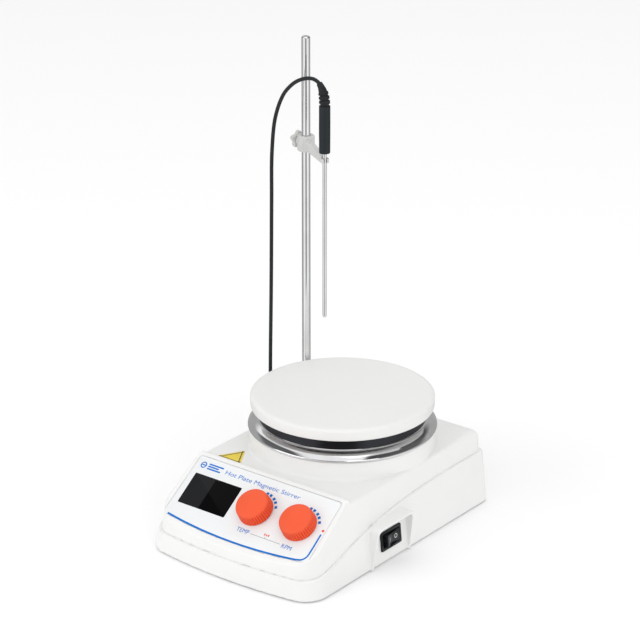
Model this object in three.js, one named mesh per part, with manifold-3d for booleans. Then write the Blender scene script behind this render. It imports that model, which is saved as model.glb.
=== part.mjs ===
// Hot-plate magnetic stirrer with a support rod, a clamp and a temperature probe on a lead.
// Millimetres, +Z up, front panel towards -Y. The origin is on the table under the middle of the base.

import * as THREE from 'three';
import { mergeVertices } from 'three/addons/utils/BufferGeometryUtils.js';
import Module from 'manifold-3d';

const wasm = await Module();
wasm.setup();

// Driving dimensions

// housing: base outline at table level, wall draft, split line, wall thicknesses
const HALF_WIDTH = 75.1;
const FRONT_Y = -111;
const REAR_Y = 110.6;
const CROWN_R = 400;
const FRONT_CORNER_R = 15;
const REAR_CORNER_R = 6;
const CROWN_STEPS = 12;
const CORNER_STEPS = 5;
const DRAFT = 0.097;
const REAR_DRAFT = 0.03;
const BASE_Z = 1;
const FLOOR_TOP_Z = 4;
const LEDGE_STEP = 1.8;
const LOWER_WALL = 3;
const UPPER_WALL = 2.6;
const SPLIT_GAP = 0.3;
const LEDGE_FRONT_Z = 15.5;
const LEDGE_REAR_Z = 41;

// sloping control panel, its frame at the middle of the lower edge
const PANEL_FRONT_Y = -99.5;
const PANEL_FRONT_Z = 28.1;
const PANEL_CREST_Y = -54.7;
const PANEL_CREST_Z = 59.8;
const PANEL_SLOPE = Math.atan2(PANEL_CREST_Z - PANEL_FRONT_Z, PANEL_CREST_Y - PANEL_FRONT_Y);
const PANEL_WALL = 3.4;
const RECESS_DEPTH = 1.1;

// deck behind the panel
const DECK_Z = 57;
const DECK_REAR_Z = 54.4;
const DECK_REAR_Y = 107.4;
const DECK_ROLL_Y = 97.5;
const CREST_BACK_Y = -51.4;

// heated plate and what stands under it
const PLATE_Y = 27.5;
const PLATE_R = 67.5;
const PLATE_TOP_Z = 96;
const PLATE_THICK = 8.9;
const UNDER_PLATE_Z = PLATE_TOP_Z - PLATE_THICK - 0.3;
const DRUM_R = 67.5;
const DRUM_TOP_Z = 71;
const DRUM_HOLE_R = 32;
const SKIRT_LIP_R = 69.35;
const SKIRT_NECK_R = 61;
const POST_R = 3;
const POST_CIRCLE_R = 54;

// knobs, display and encoders, in the panel's frame: x across, y up the slope, z out of it
const KNOB_X = [4.4, 43.4];
const KNOB_Y = 26;
const KNOB_R = 13.1;
const KNOB_RIBS = 36;
const DISPLAY_X = -38.1;
const DISPLAY_Y = 25.4;
const DISPLAY_W = 43;
const DISPLAY_H = 26;

// power switch in the right wall and the hood around it
const SWITCH_Y = -12.5;
const SWITCH_Z = 17;
const SWITCH_TILT = THREE.MathUtils.degToRad(9);
const HOOD_Y = -14.2;
const HOOD_HEIGHT = 33;
const HOOD_WALL = 2;

// rear connector field
const REAR_FIELD_Y = 106.5;
const INLET_X = 28;
const SOCKET_X = -34;
const CONNECTOR_Z = 21.5;

// support rod, clamp and probe
const ROD_X = -62.8;
const ROD_Y = 64.9;
const ROD_R = 3.2;
const ROD_TOP_Z = 344.7;
const CLAMP_Z = 264.5;
const CLAMP_TURN = THREE.MathUtils.degToRad(-35.7);
const ARM_LENGTH = 47.8;
const SCREW_TURN = THREE.MathUtils.degToRad(160);
const LOBE_TURN = THREE.MathUtils.degToRad(105);
const PROBE_X = -24;
const PROBE_Y = 37;
const PROBE_TIP_Z = 145.8;
const PROBE_R = 1.5;
const HANDLE_R = 4.1;
const HANDLE_BOTTOM_Z = 272;
const HANDLE_TOP_Z = 307;

// sensor lead
const LEAD_R = 1.4;
const COIL_X = -8.8;
const COIL_Y = 134;
const COIL_MEAN_R = 15.4;
const COIL_HALF_WIDTH = 4.3;
const COIL_HALF_HEIGHT = 2.95;
const LEAD_STEP = 7.6;

// Solids: closed three.js geometries turned into manifolds

function signedVolume(position, index) {
  const a = new THREE.Vector3();
  const b = new THREE.Vector3();
  const c = new THREE.Vector3();
  let total = 0;
  for (let i = 0; i < index.length; i += 3) {
    a.fromBufferAttribute(position, index[i]);
    b.fromBufferAttribute(position, index[i + 1]);
    c.fromBufferAttribute(position, index[i + 2]);
    total += a.dot(b.cross(c)) / 6;
  }
  return total;
}

function solid(geometry) {
  const bare = new THREE.BufferGeometry();
  bare.setAttribute('position', geometry.getAttribute('position'));
  bare.setIndex(geometry.getIndex());
  const merged = mergeVertices(bare, 1e-4);
  const corners = merged.getIndex().array;
  const triangles = [];
  for (let i = 0; i < corners.length; i += 3) {
    const [a, b, c] = corners.slice(i, i + 3);
    if (a !== b && b !== c && c !== a) {
      triangles.push(a, b, c);
    }
  }
  const position = merged.getAttribute('position');
  if (signedVolume(position, triangles) < 0) {
    triangles.reverse();
  }
  const mesh = new wasm.Mesh({
    numProp: 3,
    vertProperties: new Float32Array(position.array),
    triVerts: new Uint32Array(triangles),
  });
  return new wasm.Manifold(mesh);
}

function geometryOf(manifold) {
  const mesh = manifold.getMesh();
  const geometry = new THREE.BufferGeometry();
  geometry.setAttribute('position', new THREE.BufferAttribute(mesh.vertProperties, 3));
  geometry.setIndex(new THREE.BufferAttribute(mesh.triVerts, 1));
  geometry.computeVertexNormals();
  return geometry;
}

function join(first, ...others) {
  return others.reduce((whole, other) => whole.add(other), first);
}

function cut(first, ...others) {
  return others.reduce((whole, other) => whole.subtract(other), first);
}

function common(first, ...others) {
  return others.reduce((whole, other) => whole.intersect(other), first);
}

// box between two opposite corners
function box(low, high) {
  const geometry = new THREE.BoxGeometry(high[0] - low[0], high[1] - low[1], high[2] - low[2]);
  geometry.translate((low[0] + high[0]) / 2, (low[1] + high[1]) / 2, (low[2] + high[2]) / 2);
  return solid(geometry);
}

// upright cylinder
function cylinder(x, y, radius, z0, z1, segments = 32) {
  const geometry = new THREE.CylinderGeometry(radius, radius, z1 - z0, segments);
  geometry.rotateX(Math.PI / 2);
  geometry.translate(x, y, (z0 + z1) / 2);
  return solid(geometry);
}

// cylinder along Y
function cylinderY(x, z, radius, y0, y1, segments = 24) {
  const geometry = new THREE.CylinderGeometry(radius, radius, y1 - y0, segments);
  geometry.translate(x, (y0 + y1) / 2, z);
  return solid(geometry);
}

// cylinder along X
function cylinderX(y, z, radius, x0, x1, segments = 24) {
  const geometry = new THREE.CylinderGeometry(radius, radius, x1 - x0, segments);
  geometry.rotateZ(Math.PI / 2);
  geometry.translate((x0 + x1) / 2, y, z);
  return solid(geometry);
}

// profile of [radius, height] pairs turned about a vertical axis; it starts and ends on the axis or closes
function turned(profile, x, y, segments = 48) {
  const points = profile.map(([radius, height]) => new THREE.Vector2(radius, height));
  const geometry = new THREE.LatheGeometry(points, segments);
  geometry.rotateX(Math.PI / 2);
  geometry.translate(x, y, 0);
  return solid(geometry);
}

function shapeOf(pairs) {
  return new THREE.Shape(pairs.map(([x, y]) => new THREE.Vector2(x, y)));
}

function prismZ(shape, z0, z1, curveSegments = 12) {
  const options = { depth: z1 - z0, bevelEnabled: false, curveSegments };
  const geometry = new THREE.ExtrudeGeometry(shape, options);
  geometry.translate(0, 0, z0);
  return solid(geometry);
}

// a shape drawn in Y and Z, extruded along X
function prismX(shape, x0, x1, curveSegments = 12) {
  const options = { depth: x1 - x0, bevelEnabled: false, curveSegments };
  const geometry = new THREE.ExtrudeGeometry(shape, options);
  const yzx = new THREE.Matrix4().makeBasis(
    new THREE.Vector3(0, 1, 0),
    new THREE.Vector3(0, 0, 1),
    new THREE.Vector3(1, 0, 0),
  );
  geometry.applyMatrix4(yzx);
  geometry.translate(x0, 0, 0);
  return solid(geometry);
}

// a shape drawn in X and Z, extruded along -Y from y1 down to y0
function prismY(shape, y0, y1) {
  const geometry = new THREE.ExtrudeGeometry(shape, { depth: y1 - y0, bevelEnabled: false });
  geometry.rotateX(Math.PI / 2);
  geometry.translate(0, y1, 0);
  return solid(geometry);
}

// skin over closed outlines of equal point counts, stacked from the lowest up
function loft(rings) {
  const count = rings[0].points.length;
  const positions = rings.flatMap(({ points, z }) => points.flatMap((p) => [p.x, p.y, z]));
  const floorCap = THREE.ShapeUtils.triangulateShape(rings[0].points, []);
  const topRing = rings[rings.length - 1];
  const topCap = THREE.ShapeUtils.triangulateShape(topRing.points, []);
  const topStart = (rings.length - 1) * count;
  const index = floorCap.flatMap(([a, b, c]) => [a, c, b]);
  index.push(...topCap.flatMap(([a, b, c]) => [a + topStart, b + topStart, c + topStart]));
  for (let level = 0; level < rings.length - 1; level += 1) {
    for (let i = 0; i < count; i += 1) {
      const a = level * count + i;
      const b = level * count + ((i + 1) % count);
      index.push(a, b, b + count, a, b + count, a + count);
    }
  }
  const geometry = new THREE.BufferGeometry();
  geometry.setAttribute('position', new THREE.Float32BufferAttribute(positions, 3));
  geometry.setIndex(index);
  return solid(geometry);
}

// a manifold moved into another frame
function moved(manifold, matrix) {
  const geometry = geometryOf(manifold);
  geometry.applyMatrix4(matrix);
  return solid(geometry);
}

// Frames

function panelMatrix() {
  const matrix = new THREE.Matrix4().makeRotationX(PANEL_SLOPE);
  matrix.setPosition(0, PANEL_FRONT_Y, PANEL_FRONT_Z);
  return matrix;
}

// right wall: x to the rear, y up the wall, z out of it, at the middle of the switch
function switchMatrix() {
  const lean = Math.atan(DRAFT);
  const matrix = new THREE.Matrix4().makeBasis(
    new THREE.Vector3(0, 1, 0),
    new THREE.Vector3(-Math.sin(lean), 0, Math.cos(lean)),
    new THREE.Vector3(Math.cos(lean), 0, Math.sin(lean)),
  );
  matrix.setPosition(HALF_WIDTH - DRAFT * SWITCH_Z, SWITCH_Y, SWITCH_Z);
  return matrix;
}

// Materials

function material(color, roughness, metalness = 0) {
  return new THREE.MeshStandardMaterial({ color, roughness, metalness });
}

const whitePlastic = material('#f2f2f1', 0.35);
const overlayFilm = material('#f4f5f6', 0.3);
const blackGloss = material('#0b0c0e', 0.08);
const orangePlastic = material('#fa6941', 0.4);
const greyPlastic = material('#d5d6d2', 0.5);
const darkPlastic = material('#2b3136', 0.45);
const blackRubber = material('#22262a', 0.7);
const plateCoating = material('#eeeeec', 0.3);
const polishedSteel = material('#c9cacb', 0.12, 1);
const brushedSteel = material('#b8babc', 0.35, 1);
const zincSteel = material('#a9acb0', 0.4, 1);
const aluminium = material('#b5b8bb', 0.4, 1);
const brass = material('#c9a24e', 0.35, 1);
const circuitBoard = material('#1f5b35', 0.5);
const copperCoil = material('#b8743c', 0.45, 0.6);
const mica = material('#b9a887', 0.7);
const ceramicFibre = material('#efece4', 0.95);
const yellowLabel = material('#e9cf2f', 0.4);
const clearGlass = material('#dfe7ea', 0.1);

const stirrer = new THREE.Group();

function place(name, manifold, surface, parent = stirrer) {
  const mesh = new THREE.Mesh(geometryOf(manifold), surface);
  mesh.name = name;
  parent.add(mesh);
  return mesh;
}

function frameGroup(matrix) {
  const group = new THREE.Group();
  group.applyMatrix4(matrix);
  stirrer.add(group);
  return group;
}

// Housing

// points along an arc about (x, y), both ends included
function arc(x, y, radius, from, to, steps) {
  return new THREE.EllipseCurve(x, y, radius, radius, from, to).getPoints(steps);
}

// plan of the housing at height z: crowned front, rounded corners, moved inwards by inset
function outline(z, inset, frontRadius = FRONT_CORNER_R, rearRadius = REAR_CORNER_R) {
  const lean = inset + DRAFT * z;
  const half = HALF_WIDTH - lean;
  const rear = REAR_Y - inset - REAR_DRAFT * z;
  const crownR = CROWN_R - lean;
  const crownY = FRONT_Y + CROWN_R;
  const sideX = half - frontRadius;
  const reach = crownR - frontRadius;
  const cornerY = crownY - Math.sqrt(reach * reach - sideX * sideX);
  const turn = Math.asin(sideX / reach);
  const right = -Math.PI / 2;
  const points = [
    ...arc(0, crownY, crownR, right - turn, right + turn, CROWN_STEPS),
    ...arc(sideX, cornerY, frontRadius, right + turn, 0, CORNER_STEPS),
    ...arc(half - rearRadius, rear - rearRadius, rearRadius, 0, Math.PI / 2, CORNER_STEPS),
    ...arc(rearRadius - half, rear - rearRadius, rearRadius, Math.PI / 2, Math.PI, CORNER_STEPS),
    ...arc(-sideX, cornerY, frontRadius, Math.PI, 1.5 * Math.PI - turn, CORNER_STEPS),
  ];
  return points.filter((point, i) => point.distanceTo(points[(i + 1) % points.length]) > 1e-3);
}

// drafted block with the housing's plan, its walls leaning in as they rise
function draftedBlock(inset, z0, z1, frontRadius, rearRadius) {
  const ring = (z) => ({ points: outline(z, inset, frontRadius, rearRadius), z });
  return loft([ring(z0), ring(z1)]);
}

// everything below the split line, which climbs in an S from the front to the rear
function belowSplit(lift) {
  const shape = new THREE.Shape();
  shape.moveTo(-140, -10);
  shape.lineTo(140, -10);
  shape.lineTo(140, LEDGE_REAR_Z + lift);
  shape.lineTo(70, LEDGE_REAR_Z + lift);
  shape.bezierCurveTo(-40, 40.5 + lift, -62, 20 + lift, -100, LEDGE_FRONT_Z + lift);
  shape.lineTo(-140, LEDGE_FRONT_Z + lift);
  return prismX(shape, -100, 100, 10);
}

// everything under the panel slope, the deck and its rolled rear edge
function underTop(sink, panelSink) {
  const slope = Math.tan(PANEL_SLOPE);
  const crestDrop = panelSink / Math.cos(PANEL_SLOPE);
  const frontY = -140;
  const frontZ = PANEL_FRONT_Z + slope * (frontY - PANEL_FRONT_Y) - crestDrop;
  const shape = new THREE.Shape();
  shape.moveTo(frontY, frontZ);
  shape.lineTo(frontY, -40);
  shape.lineTo(140, -40);
  shape.lineTo(140, DECK_REAR_Z - sink);
  shape.lineTo(DECK_REAR_Y, DECK_REAR_Z - sink);
  shape.quadraticCurveTo(DECK_REAR_Y - 2.6, DECK_Z - sink, DECK_ROLL_Y, DECK_Z - sink);
  if (sink === 0) {
    shape.lineTo(CREST_BACK_Y, DECK_Z);
    shape.lineTo(CREST_BACK_Y, PANEL_CREST_Z - 1);
    shape.lineTo(CREST_BACK_Y - 1, PANEL_CREST_Z);
    shape.lineTo(PANEL_CREST_Y + 0.6, PANEL_CREST_Z);
    shape.lineTo(PANEL_CREST_Y - 0.9, PANEL_CREST_Z - 0.75);
  } else {
    const meetY = PANEL_FRONT_Y + (DECK_Z - sink - PANEL_FRONT_Z + crestDrop) / slope;
    shape.lineTo(meetY, DECK_Z - sink);
  }
  return prismX(shape, -100, 100, 5);
}

function deckBlock() {
  const rounding = 1.6;
  const ring = (z, extra) => ({ points: outline(z, LEDGE_STEP + extra), z });
  return loft([
    ring(0, 0),
    ring(DECK_Z - rounding, 0),
    ring(DECK_Z - 0.3 * rounding, 0.3 * rounding),
    ring(DECK_Z, rounding),
  ]);
}

function screwPlaces() {
  return [[-62, -60], [62, -60], [62, 84], [-62, 84]];
}

function postPlaces() {
  return [30, 150, 270].map((degrees) => {
    const angle = THREE.MathUtils.degToRad(degrees);
    return [POST_CIRCLE_R * Math.cos(angle), PLATE_Y + POST_CIRCLE_R * Math.sin(angle)];
  });
}

// membrane outline in the panel's frame, grown or shrunk by margin
function overlayShape(margin) {
  const top = 52.5 + margin;
  const topHalf = 64.2 + margin;
  const lowHalf = 65.4 + margin;
  const lowY = 1 - margin;
  const corner = 5;
  const shape = new THREE.Shape();
  shape.moveTo(-lowHalf + corner, lowY);
  shape.quadraticCurveTo(0, lowY - 8.6, lowHalf - corner, lowY);
  shape.quadraticCurveTo(lowHalf, lowY + 1, lowHalf, lowY + corner + 1);
  shape.lineTo(topHalf, top - 3);
  shape.quadraticCurveTo(topHalf, top, topHalf - 3, top);
  shape.lineTo(3 - topHalf, top);
  shape.quadraticCurveTo(-topHalf, top, -topHalf, top - 3);
  shape.lineTo(-lowHalf, lowY + corner + 1);
  shape.quadraticCurveTo(-lowHalf, lowY + 1, -lowHalf + corner, lowY);
  return shape;
}

function upperHousing() {
  const plainBlock = draftedBlock(LEDGE_STEP, 0, 62);
  const wedge = common(plainBlock, box([-90, -120, -5], [90, CREST_BACK_Y, 62]));
  const drum = cylinder(0, PLATE_Y, DRUM_R, 40, DRUM_TOP_Z, 48);
  const rodBoss = join(
    common(cylinder(ROD_X, ROD_Y, 6.5, 42, 59.5), plainBlock),
    common(cylinder(ROD_X, ROD_Y, 6.5, 30, 43), draftedBlock(LOWER_WALL + SPLIT_GAP, 0, 62)),
  );
  const body = join(common(join(deckBlock(), wedge), underTop(0, 0)), drum);
  const inset = LEDGE_STEP + UPPER_WALL;
  const hollow = common(
    draftedBlock(inset, -10, 62, FRONT_CORNER_R - UPPER_WALL, REAR_CORNER_R - UPPER_WALL),
    underTop(UPPER_WALL, PANEL_WALL),
  );
  const drumHollow = cylinder(0, PLATE_Y, DRUM_R - UPPER_WALL, 30, DRUM_TOP_Z - UPPER_WALL, 48);
  let shell = cut(body, hollow, drumHollow, belowSplit(SPLIT_GAP));
  for (const [x, y] of screwPlaces()) {
    const post = common(cylinder(x, y, 4, 12, DECK_Z - 1, 24), body);
    shell = cut(join(shell, post), cylinder(x, y, 1.7, 5, 30, 16));
  }
  shell = join(shell, rodBoss);
  shell = cut(
    shell,
    cylinder(ROD_X, ROD_Y, 4.6, 20, 44.3, 24),
    cylinder(ROD_X, ROD_Y, ROD_R + 0.3, 40, 70),
    cylinder(0, PLATE_Y, DRUM_HOLE_R, 60, 80, 48),
  );
  const recess = prismZ(overlayShape(0.3), -RECESS_DEPTH, 6, 6);
  const window = box(
    [DISPLAY_X - 19.5, DISPLAY_Y - 11, -9],
    [DISPLAY_X + 19.5, DISPLAY_Y + 11, 4],
  );
  const bushings = KNOB_X.map((x) => cylinder(x, KNOB_Y, 4.2, -9, 4, 24));
  const postHoles = postPlaces().map(([x, y]) => cylinder(x, y, 2.1, 60, 80, 16));
  const panelCuts = join(recess, window, ...bushings);
  return cut(shell, moved(panelCuts, panelMatrix()), ...postHoles);
}

// hood outline in Y and Z: straight foot, sides leaning together, rounded top corners
function hoodShape(shrink) {
  const footHalf = 23.3 - shrink;
  const topHalf = 21.8 - shrink;
  const top = HOOD_HEIGHT - shrink;
  const corner = 4;
  const lean = (footHalf - topHalf) / top;
  const shape = new THREE.Shape();
  shape.moveTo(HOOD_Y - footHalf - 5 * lean, -5);
  shape.lineTo(HOOD_Y + footHalf + 5 * lean, -5);
  shape.lineTo(HOOD_Y + topHalf + corner * lean, top - corner);
  shape.quadraticCurveTo(HOOD_Y + topHalf, top, HOOD_Y + topHalf - corner, top);
  shape.lineTo(HOOD_Y - topHalf + corner, top);
  shape.quadraticCurveTo(HOOD_Y - topHalf, top, HOOD_Y - topHalf - corner * lean, top - corner);
  return shape;
}

// raised shroud on three sides of the switch, shallow at its foot and deeper at its top
function switchHood() {
  const rim = shapeOf([[60, BASE_Z], [76.6, BASE_Z], [81.2, 35], [60, 35]]);
  const block = cut(prismX(hoodShape(0), 71, 90, 5), prismX(hoodShape(HOOD_WALL), 60, 95, 5));
  return common(block, prismY(rim, -60, 30));
}

function lowerHousing() {
  const outer = common(draftedBlock(0, BASE_Z, 46), belowSplit(0));
  const hollow = draftedBlock(
    LOWER_WALL,
    FLOOR_TOP_Z,
    48,
    FRONT_CORNER_R - LOWER_WALL,
    REAR_CORNER_R - LOWER_WALL,
  );
  let shell = cut(join(outer, switchHood()), hollow);
  const rearPad = common(box([-50, REAR_FIELD_Y - 3.2, 3], [50, 112, 40]), outer);
  shell = cut(join(shell, rearPad), box([-46, REAR_FIELD_Y, 5], [46, 120, 38]));
  for (const [x, y] of screwPlaces()) {
    const boss = cylinder(x, y, 4.5, 2, 11.5, 24);
    shell = cut(join(shell, boss), cylinder(x, y, 1.8, -1, 14, 16), cylinder(x, y, 3.5, -1, 5, 20));
  }
  for (const [x, y] of footPlaces()) {
    shell = cut(shell, cylinder(x, y, 8.4, -1, 2.5, 32));
  }
  for (const [x, y] of boardPosts()) {
    shell = join(shell, cylinder(x, y, 2.5, 3, 11.7, 12));
  }
  const switchHole = moved(box([-10.9, -6.4, -9], [10.9, 6.4, 4]), switchMatrix());
  const inletHole = box(
    [INLET_X - 13.8, 95, CONNECTOR_Z - 14.3],
    [INLET_X + 13.8, 112, CONNECTOR_Z + 14.3],
  );
  const socketHole = cylinderY(SOCKET_X, CONNECTOR_Z, 6.5, 98, 112);
  return cut(shell, switchHole, inletHole, socketHole);
}

function footPlaces() {
  return [[-56, -84], [56, -84], [56, 96], [-56, 96]];
}

function boardPosts() {
  return [[-56, -30], [-28, -30], [-28, 66], [-56, 50]];
}

function foot(x, y) {
  return turned([[0, 0], [7, 0], [8, 1], [8, 2.2], [0, 2.2]], x, y, 24);
}

function housingScrew(x, y) {
  const profile = [[0, 2], [3, 2], [3, 4.6], [1.4, 4.6], [1.4, 20], [0, 20]];
  return cut(turned(profile, x, y, 16), box([x - 2.4, y - 0.4, 0], [x + 2.4, y + 0.4, 3]));
}

place('lower_housing', lowerHousing(), whitePlastic);
place('upper_housing', upperHousing(), whitePlastic);
footPlaces().forEach(([x, y], i) => place(`foot_${i + 1}`, foot(x, y), blackRubber));
screwPlaces().forEach(([x, y], i) => place(`housing_screw_${i + 1}`, housingScrew(x, y), zincSteel));

// Control panel

const panel = frameGroup(panelMatrix());

function panelOverlay() {
  const film = prismZ(overlayShape(0), -0.8, -0.3, 6);
  const window = box(
    [DISPLAY_X - DISPLAY_W / 2 - 0.3, DISPLAY_Y - DISPLAY_H / 2 - 0.3, -3],
    [DISPLAY_X + DISPLAY_W / 2 + 0.3, DISPLAY_Y + DISPLAY_H / 2 + 0.3, 2],
  );
  const holes = KNOB_X.map((x) => cylinder(x, KNOB_Y, 4.2, -3, 2, 24));
  return cut(film, window, ...holes);
}

function displayWindow() {
  return box(
    [DISPLAY_X - DISPLAY_W / 2, DISPLAY_Y - DISPLAY_H / 2, -0.8],
    [DISPLAY_X + DISPLAY_W / 2, DISPLAY_Y + DISPLAY_H / 2, -0.2],
  );
}

function knobOutline() {
  const shape = new THREE.Shape();
  for (let i = 0; i < 2 * KNOB_RIBS; i += 1) {
    const angle = (i * Math.PI) / KNOB_RIBS;
    const radius = i % 2 ? KNOB_R - 0.55 : KNOB_R + 0.1;
    const point = [radius * Math.cos(angle), radius * Math.sin(angle)];
    if (i === 0) {
      shape.moveTo(...point);
    } else {
      shape.lineTo(...point);
    }
  }
  return shape;
}

function knob(x) {
  const dome = [
    [0, 0.4], [KNOB_R + 0.1, 0.4], [KNOB_R - 0.3, 7.4], [KNOB_R - 1.2, 9.2],
    [KNOB_R - 3.4, 10.1], [KNOB_R - 8, 10.6], [0, 10.8],
  ];
  const ribbed = common(prismZ(knobOutline(), 0, 12), turned(dome, 0, 0, 36));
  const placed = moved(ribbed, new THREE.Matrix4().makeTranslation(x, KNOB_Y, 0));
  return cut(placed, cylinder(x, KNOB_Y, 3.3, -2, 8.8, 20));
}

function encoder(x) {
  const body = box([x - 6.2, KNOB_Y - 6.6, -12.1], [x + 6.2, KNOB_Y + 6.6, -5.6]);
  const bushing = cylinder(x, KNOB_Y, 3.9, -6, -0.1, 24);
  return cut(join(body, bushing), cylinder(x, KNOB_Y, 3.3, -10.5, 2, 20));
}

function controlBoard() {
  return box([-57, 4, -14], [57, 48, -12.4]);
}

function displayModule() {
  return box([DISPLAY_X - 19, DISPLAY_Y - 10.5, -12.1], [DISPLAY_X + 19, DISPLAY_Y + 10.5, -3]);
}

place('panel_overlay', panelOverlay(), overlayFilm, panel);
place('display_window', displayWindow(), blackGloss, panel);
place('display_module', displayModule(), darkPlastic, panel);
place('control_board', controlBoard(), circuitBoard, panel);
['temp', 'speed'].forEach((name, i) => {
  place(`encoder_${name}`, encoder(KNOB_X[i]), zincSteel, panel);
  place(`knob_${name}`, knob(KNOB_X[i]), orangePlastic, panel);
  place(`knob_shaft_${name}`, cylinder(KNOB_X[i], KNOB_Y, 3, -10.2, 8.5, 20), aluminium, panel);
});

// Caution label, a triangle on the deck beside the drum
function cautionLabel() {
  const triangle = shapeOf([[-56.4, -49], [-34, -49], [-45.2, -29.6]]);
  return prismZ(triangle, DECK_Z + 0.05, DECK_Z + 0.25);
}

place('caution_label', cautionLabel(), yellowLabel);

// Power electronics

place('power_board', box([-60, -35, 12], [-24, 70, 13.6]), circuitBoard);
place('transformer', box([-57, -18, 13.9], [-27, 18, 39]), copperCoil);

function heatSink() {
  const fins = [];
  for (let x = -55; x <= -31; x += 6) {
    fins.push(box([x, 30, 16], [x + 1.6, 60, 34]));
  }
  return join(box([-57, 30, 13.9], [-27, 60, 17]), ...fins);
}

place('heat_sink', heatSink(), aluminium);

// Power switch

const switchFrame = frameGroup(switchMatrix());

function switchBody() {
  const bezel = box([-11.7, -7.3, 0.3], [11.7, 7.3, 1.5]);
  const body = box([-10.6, -6.1, -12], [10.6, 6.1, 1]);
  return cut(join(bezel, body), box([-9.6, -5, -6], [9.6, 5, 5]));
}

// rocker with a hollowed top face, tipped so that its rear end is pressed in
function rocker() {
  const profile = shapeOf([[-7.4, -3], [7.4, -3], [8.5, 3.3], [0, 1.9], [-8.5, 3.3]]);
  const geometry = geometryOf(prismY(profile, -4.6, 4.6));
  geometry.rotateY(SWITCH_TILT);
  return solid(geometry);
}

place('switch_body', switchBody(), darkPlastic, switchFrame);
place('switch_rocker', rocker(), darkPlastic, switchFrame);

// Rear connectors

function inletSocket() {
  const flange = box(
    [INLET_X - 15.5, REAR_FIELD_Y + 0.3, CONNECTOR_Z - 15.5],
    [INLET_X + 15.5, REAR_FIELD_Y + 2.1, CONNECTOR_Z + 15.5],
  );
  const body = box(
    [INLET_X - 13.4, 84, CONNECTOR_Z - 13.9],
    [INLET_X + 13.4, 108, CONNECTOR_Z + 13.9],
  );
  const cavity = box([INLET_X - 12, 92.6, 18.5], [INLET_X + 12, 112, 33.7]);
  const drawerSlot = box([INLET_X - 11.3, 88, 8.2], [INLET_X + 11.3, 112, 16]);
  const pins = [[-7, 24.5], [0, 28.5], [7, 24.5]].map(([x, z]) => (
    box([INLET_X + x - 1, 91, z - 2], [INLET_X + x + 1, 104.6, z + 2])
  ));
  return join(cut(join(flange, body), cavity, drawerSlot), ...pins);
}

function fuseDrawer() {
  const tray = box([INLET_X - 11, 88.3, 8.5], [INLET_X + 11, REAR_FIELD_Y + 2.6, 15.7]);
  const trough = box([INLET_X - 10.4, 91, 9.4], [INLET_X + 10.4, 98, 18]);
  const grip = box([INLET_X - 5, 107, 14.7], [INLET_X + 5, 112, 18]);
  return cut(tray, trough, grip);
}

function sensorSocket() {
  const flange = cylinderY(SOCKET_X, CONNECTOR_Z, 8.5, REAR_FIELD_Y + 0.3, REAR_FIELD_Y + 1.8);
  const barrel = cylinderY(SOCKET_X, CONNECTOR_Z, 6.2, 96, REAR_FIELD_Y + 1);
  const nut = cylinderY(SOCKET_X, CONNECTOR_Z, 8.6, 99.5, REAR_FIELD_Y - 3.5, 6);
  return cut(join(flange, barrel, nut), cylinderY(SOCKET_X, CONNECTOR_Z, 4.6, 99, 112));
}

place('inlet_socket', inletSocket(), darkPlastic);
place('fuse_drawer', fuseDrawer(), darkPlastic);
place('fuse', cylinderX(94.5, 12.3, 2.5, INLET_X - 10, INLET_X + 10, 12), clearGlass);
place('sensor_socket', sensorSocket(), zincSteel);

// Heated plate and skirt

function hotPlate() {
  const top = PLATE_TOP_Z;
  const bottom = PLATE_TOP_Z - PLATE_THICK;
  const profile = [
    [0, bottom], [PLATE_R - 1, bottom], [PLATE_R, bottom + 1], [PLATE_R, top - 1.4],
    [PLATE_R - 0.4, top - 0.4], [PLATE_R - 1.4, top], [0, top],
  ];
  return turned(profile, 0, PLATE_Y);
}

// spun steel pan: rolled lip, cone, dark neck and a floor
function plateSkirt() {
  const profile = [
    [14, 76.8], [SKIRT_NECK_R - 1.2, 76.8], [67.4, 72.9], [SKIRT_LIP_R - 0.5, 71.6],
    [SKIRT_LIP_R, 72.2], [SKIRT_LIP_R - 0.8, 73.6], [SKIRT_NECK_R, 77.9], [SKIRT_NECK_R, UNDER_PLATE_Z],
    [SKIRT_NECK_R - 0.8, UNDER_PLATE_Z], [SKIRT_NECK_R - 0.8, 77.6], [14, 77.6], [14, 76.8],
  ];
  const holes = postPlaces().map(([x, y]) => cylinder(x, y, POST_R + 0.4, 70, 80, 16));
  return cut(turned(profile, 0, PLATE_Y), ...holes);
}

function heaterDisc() {
  const disc = cylinder(0, PLATE_Y, 48, UNDER_PLATE_Z - 3.2, UNDER_PLATE_Z, 48);
  const tabs = [-3.5, 3.5].map((x) => (
    box([x - 1.5, PLATE_Y + 47, 79.5], [x + 1.5, PLATE_Y + 50.5, UNDER_PLATE_Z - 0.6])
  ));
  return join(disc, ...tabs);
}

function insulationDisc() {
  return cut(cylinder(0, PLATE_Y, 46.5, 77.9, UNDER_PLATE_Z - 3.5, 48), cylinder(0, PLATE_Y, 8, 70, 90, 24));
}

function platePost(x, y) {
  const top = UNDER_PLATE_Z + 0.1;
  return turned([[0, 64], [1.8, 64], [1.8, 71.3], [POST_R, 71.3], [POST_R, top], [0, top]], x, y, 16);
}

place('hot_plate', hotPlate(), plateCoating);
place('plate_skirt', plateSkirt(), polishedSteel);
place('heater_disc', heaterDisc(), mica);
place('insulation_disc', insulationDisc(), ceramicFibre);
postPlaces().forEach(([x, y], i) => place(`plate_post_${i + 1}`, platePost(x, y), zincSteel));

// Stirring drive

function motorBracket() {
  const strip = box([-46, PLATE_Y - 16, 66.7], [46, PLATE_Y + 16, 68.1]);
  return cut(strip, cylinder(0, PLATE_Y, 6, 60, 75, 24));
}

function motorBody() {
  return cut(cylinder(0, PLATE_Y, 19, 30, 66.4), cylinder(0, PLATE_Y, 2.3, 36, 70, 16));
}

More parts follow.
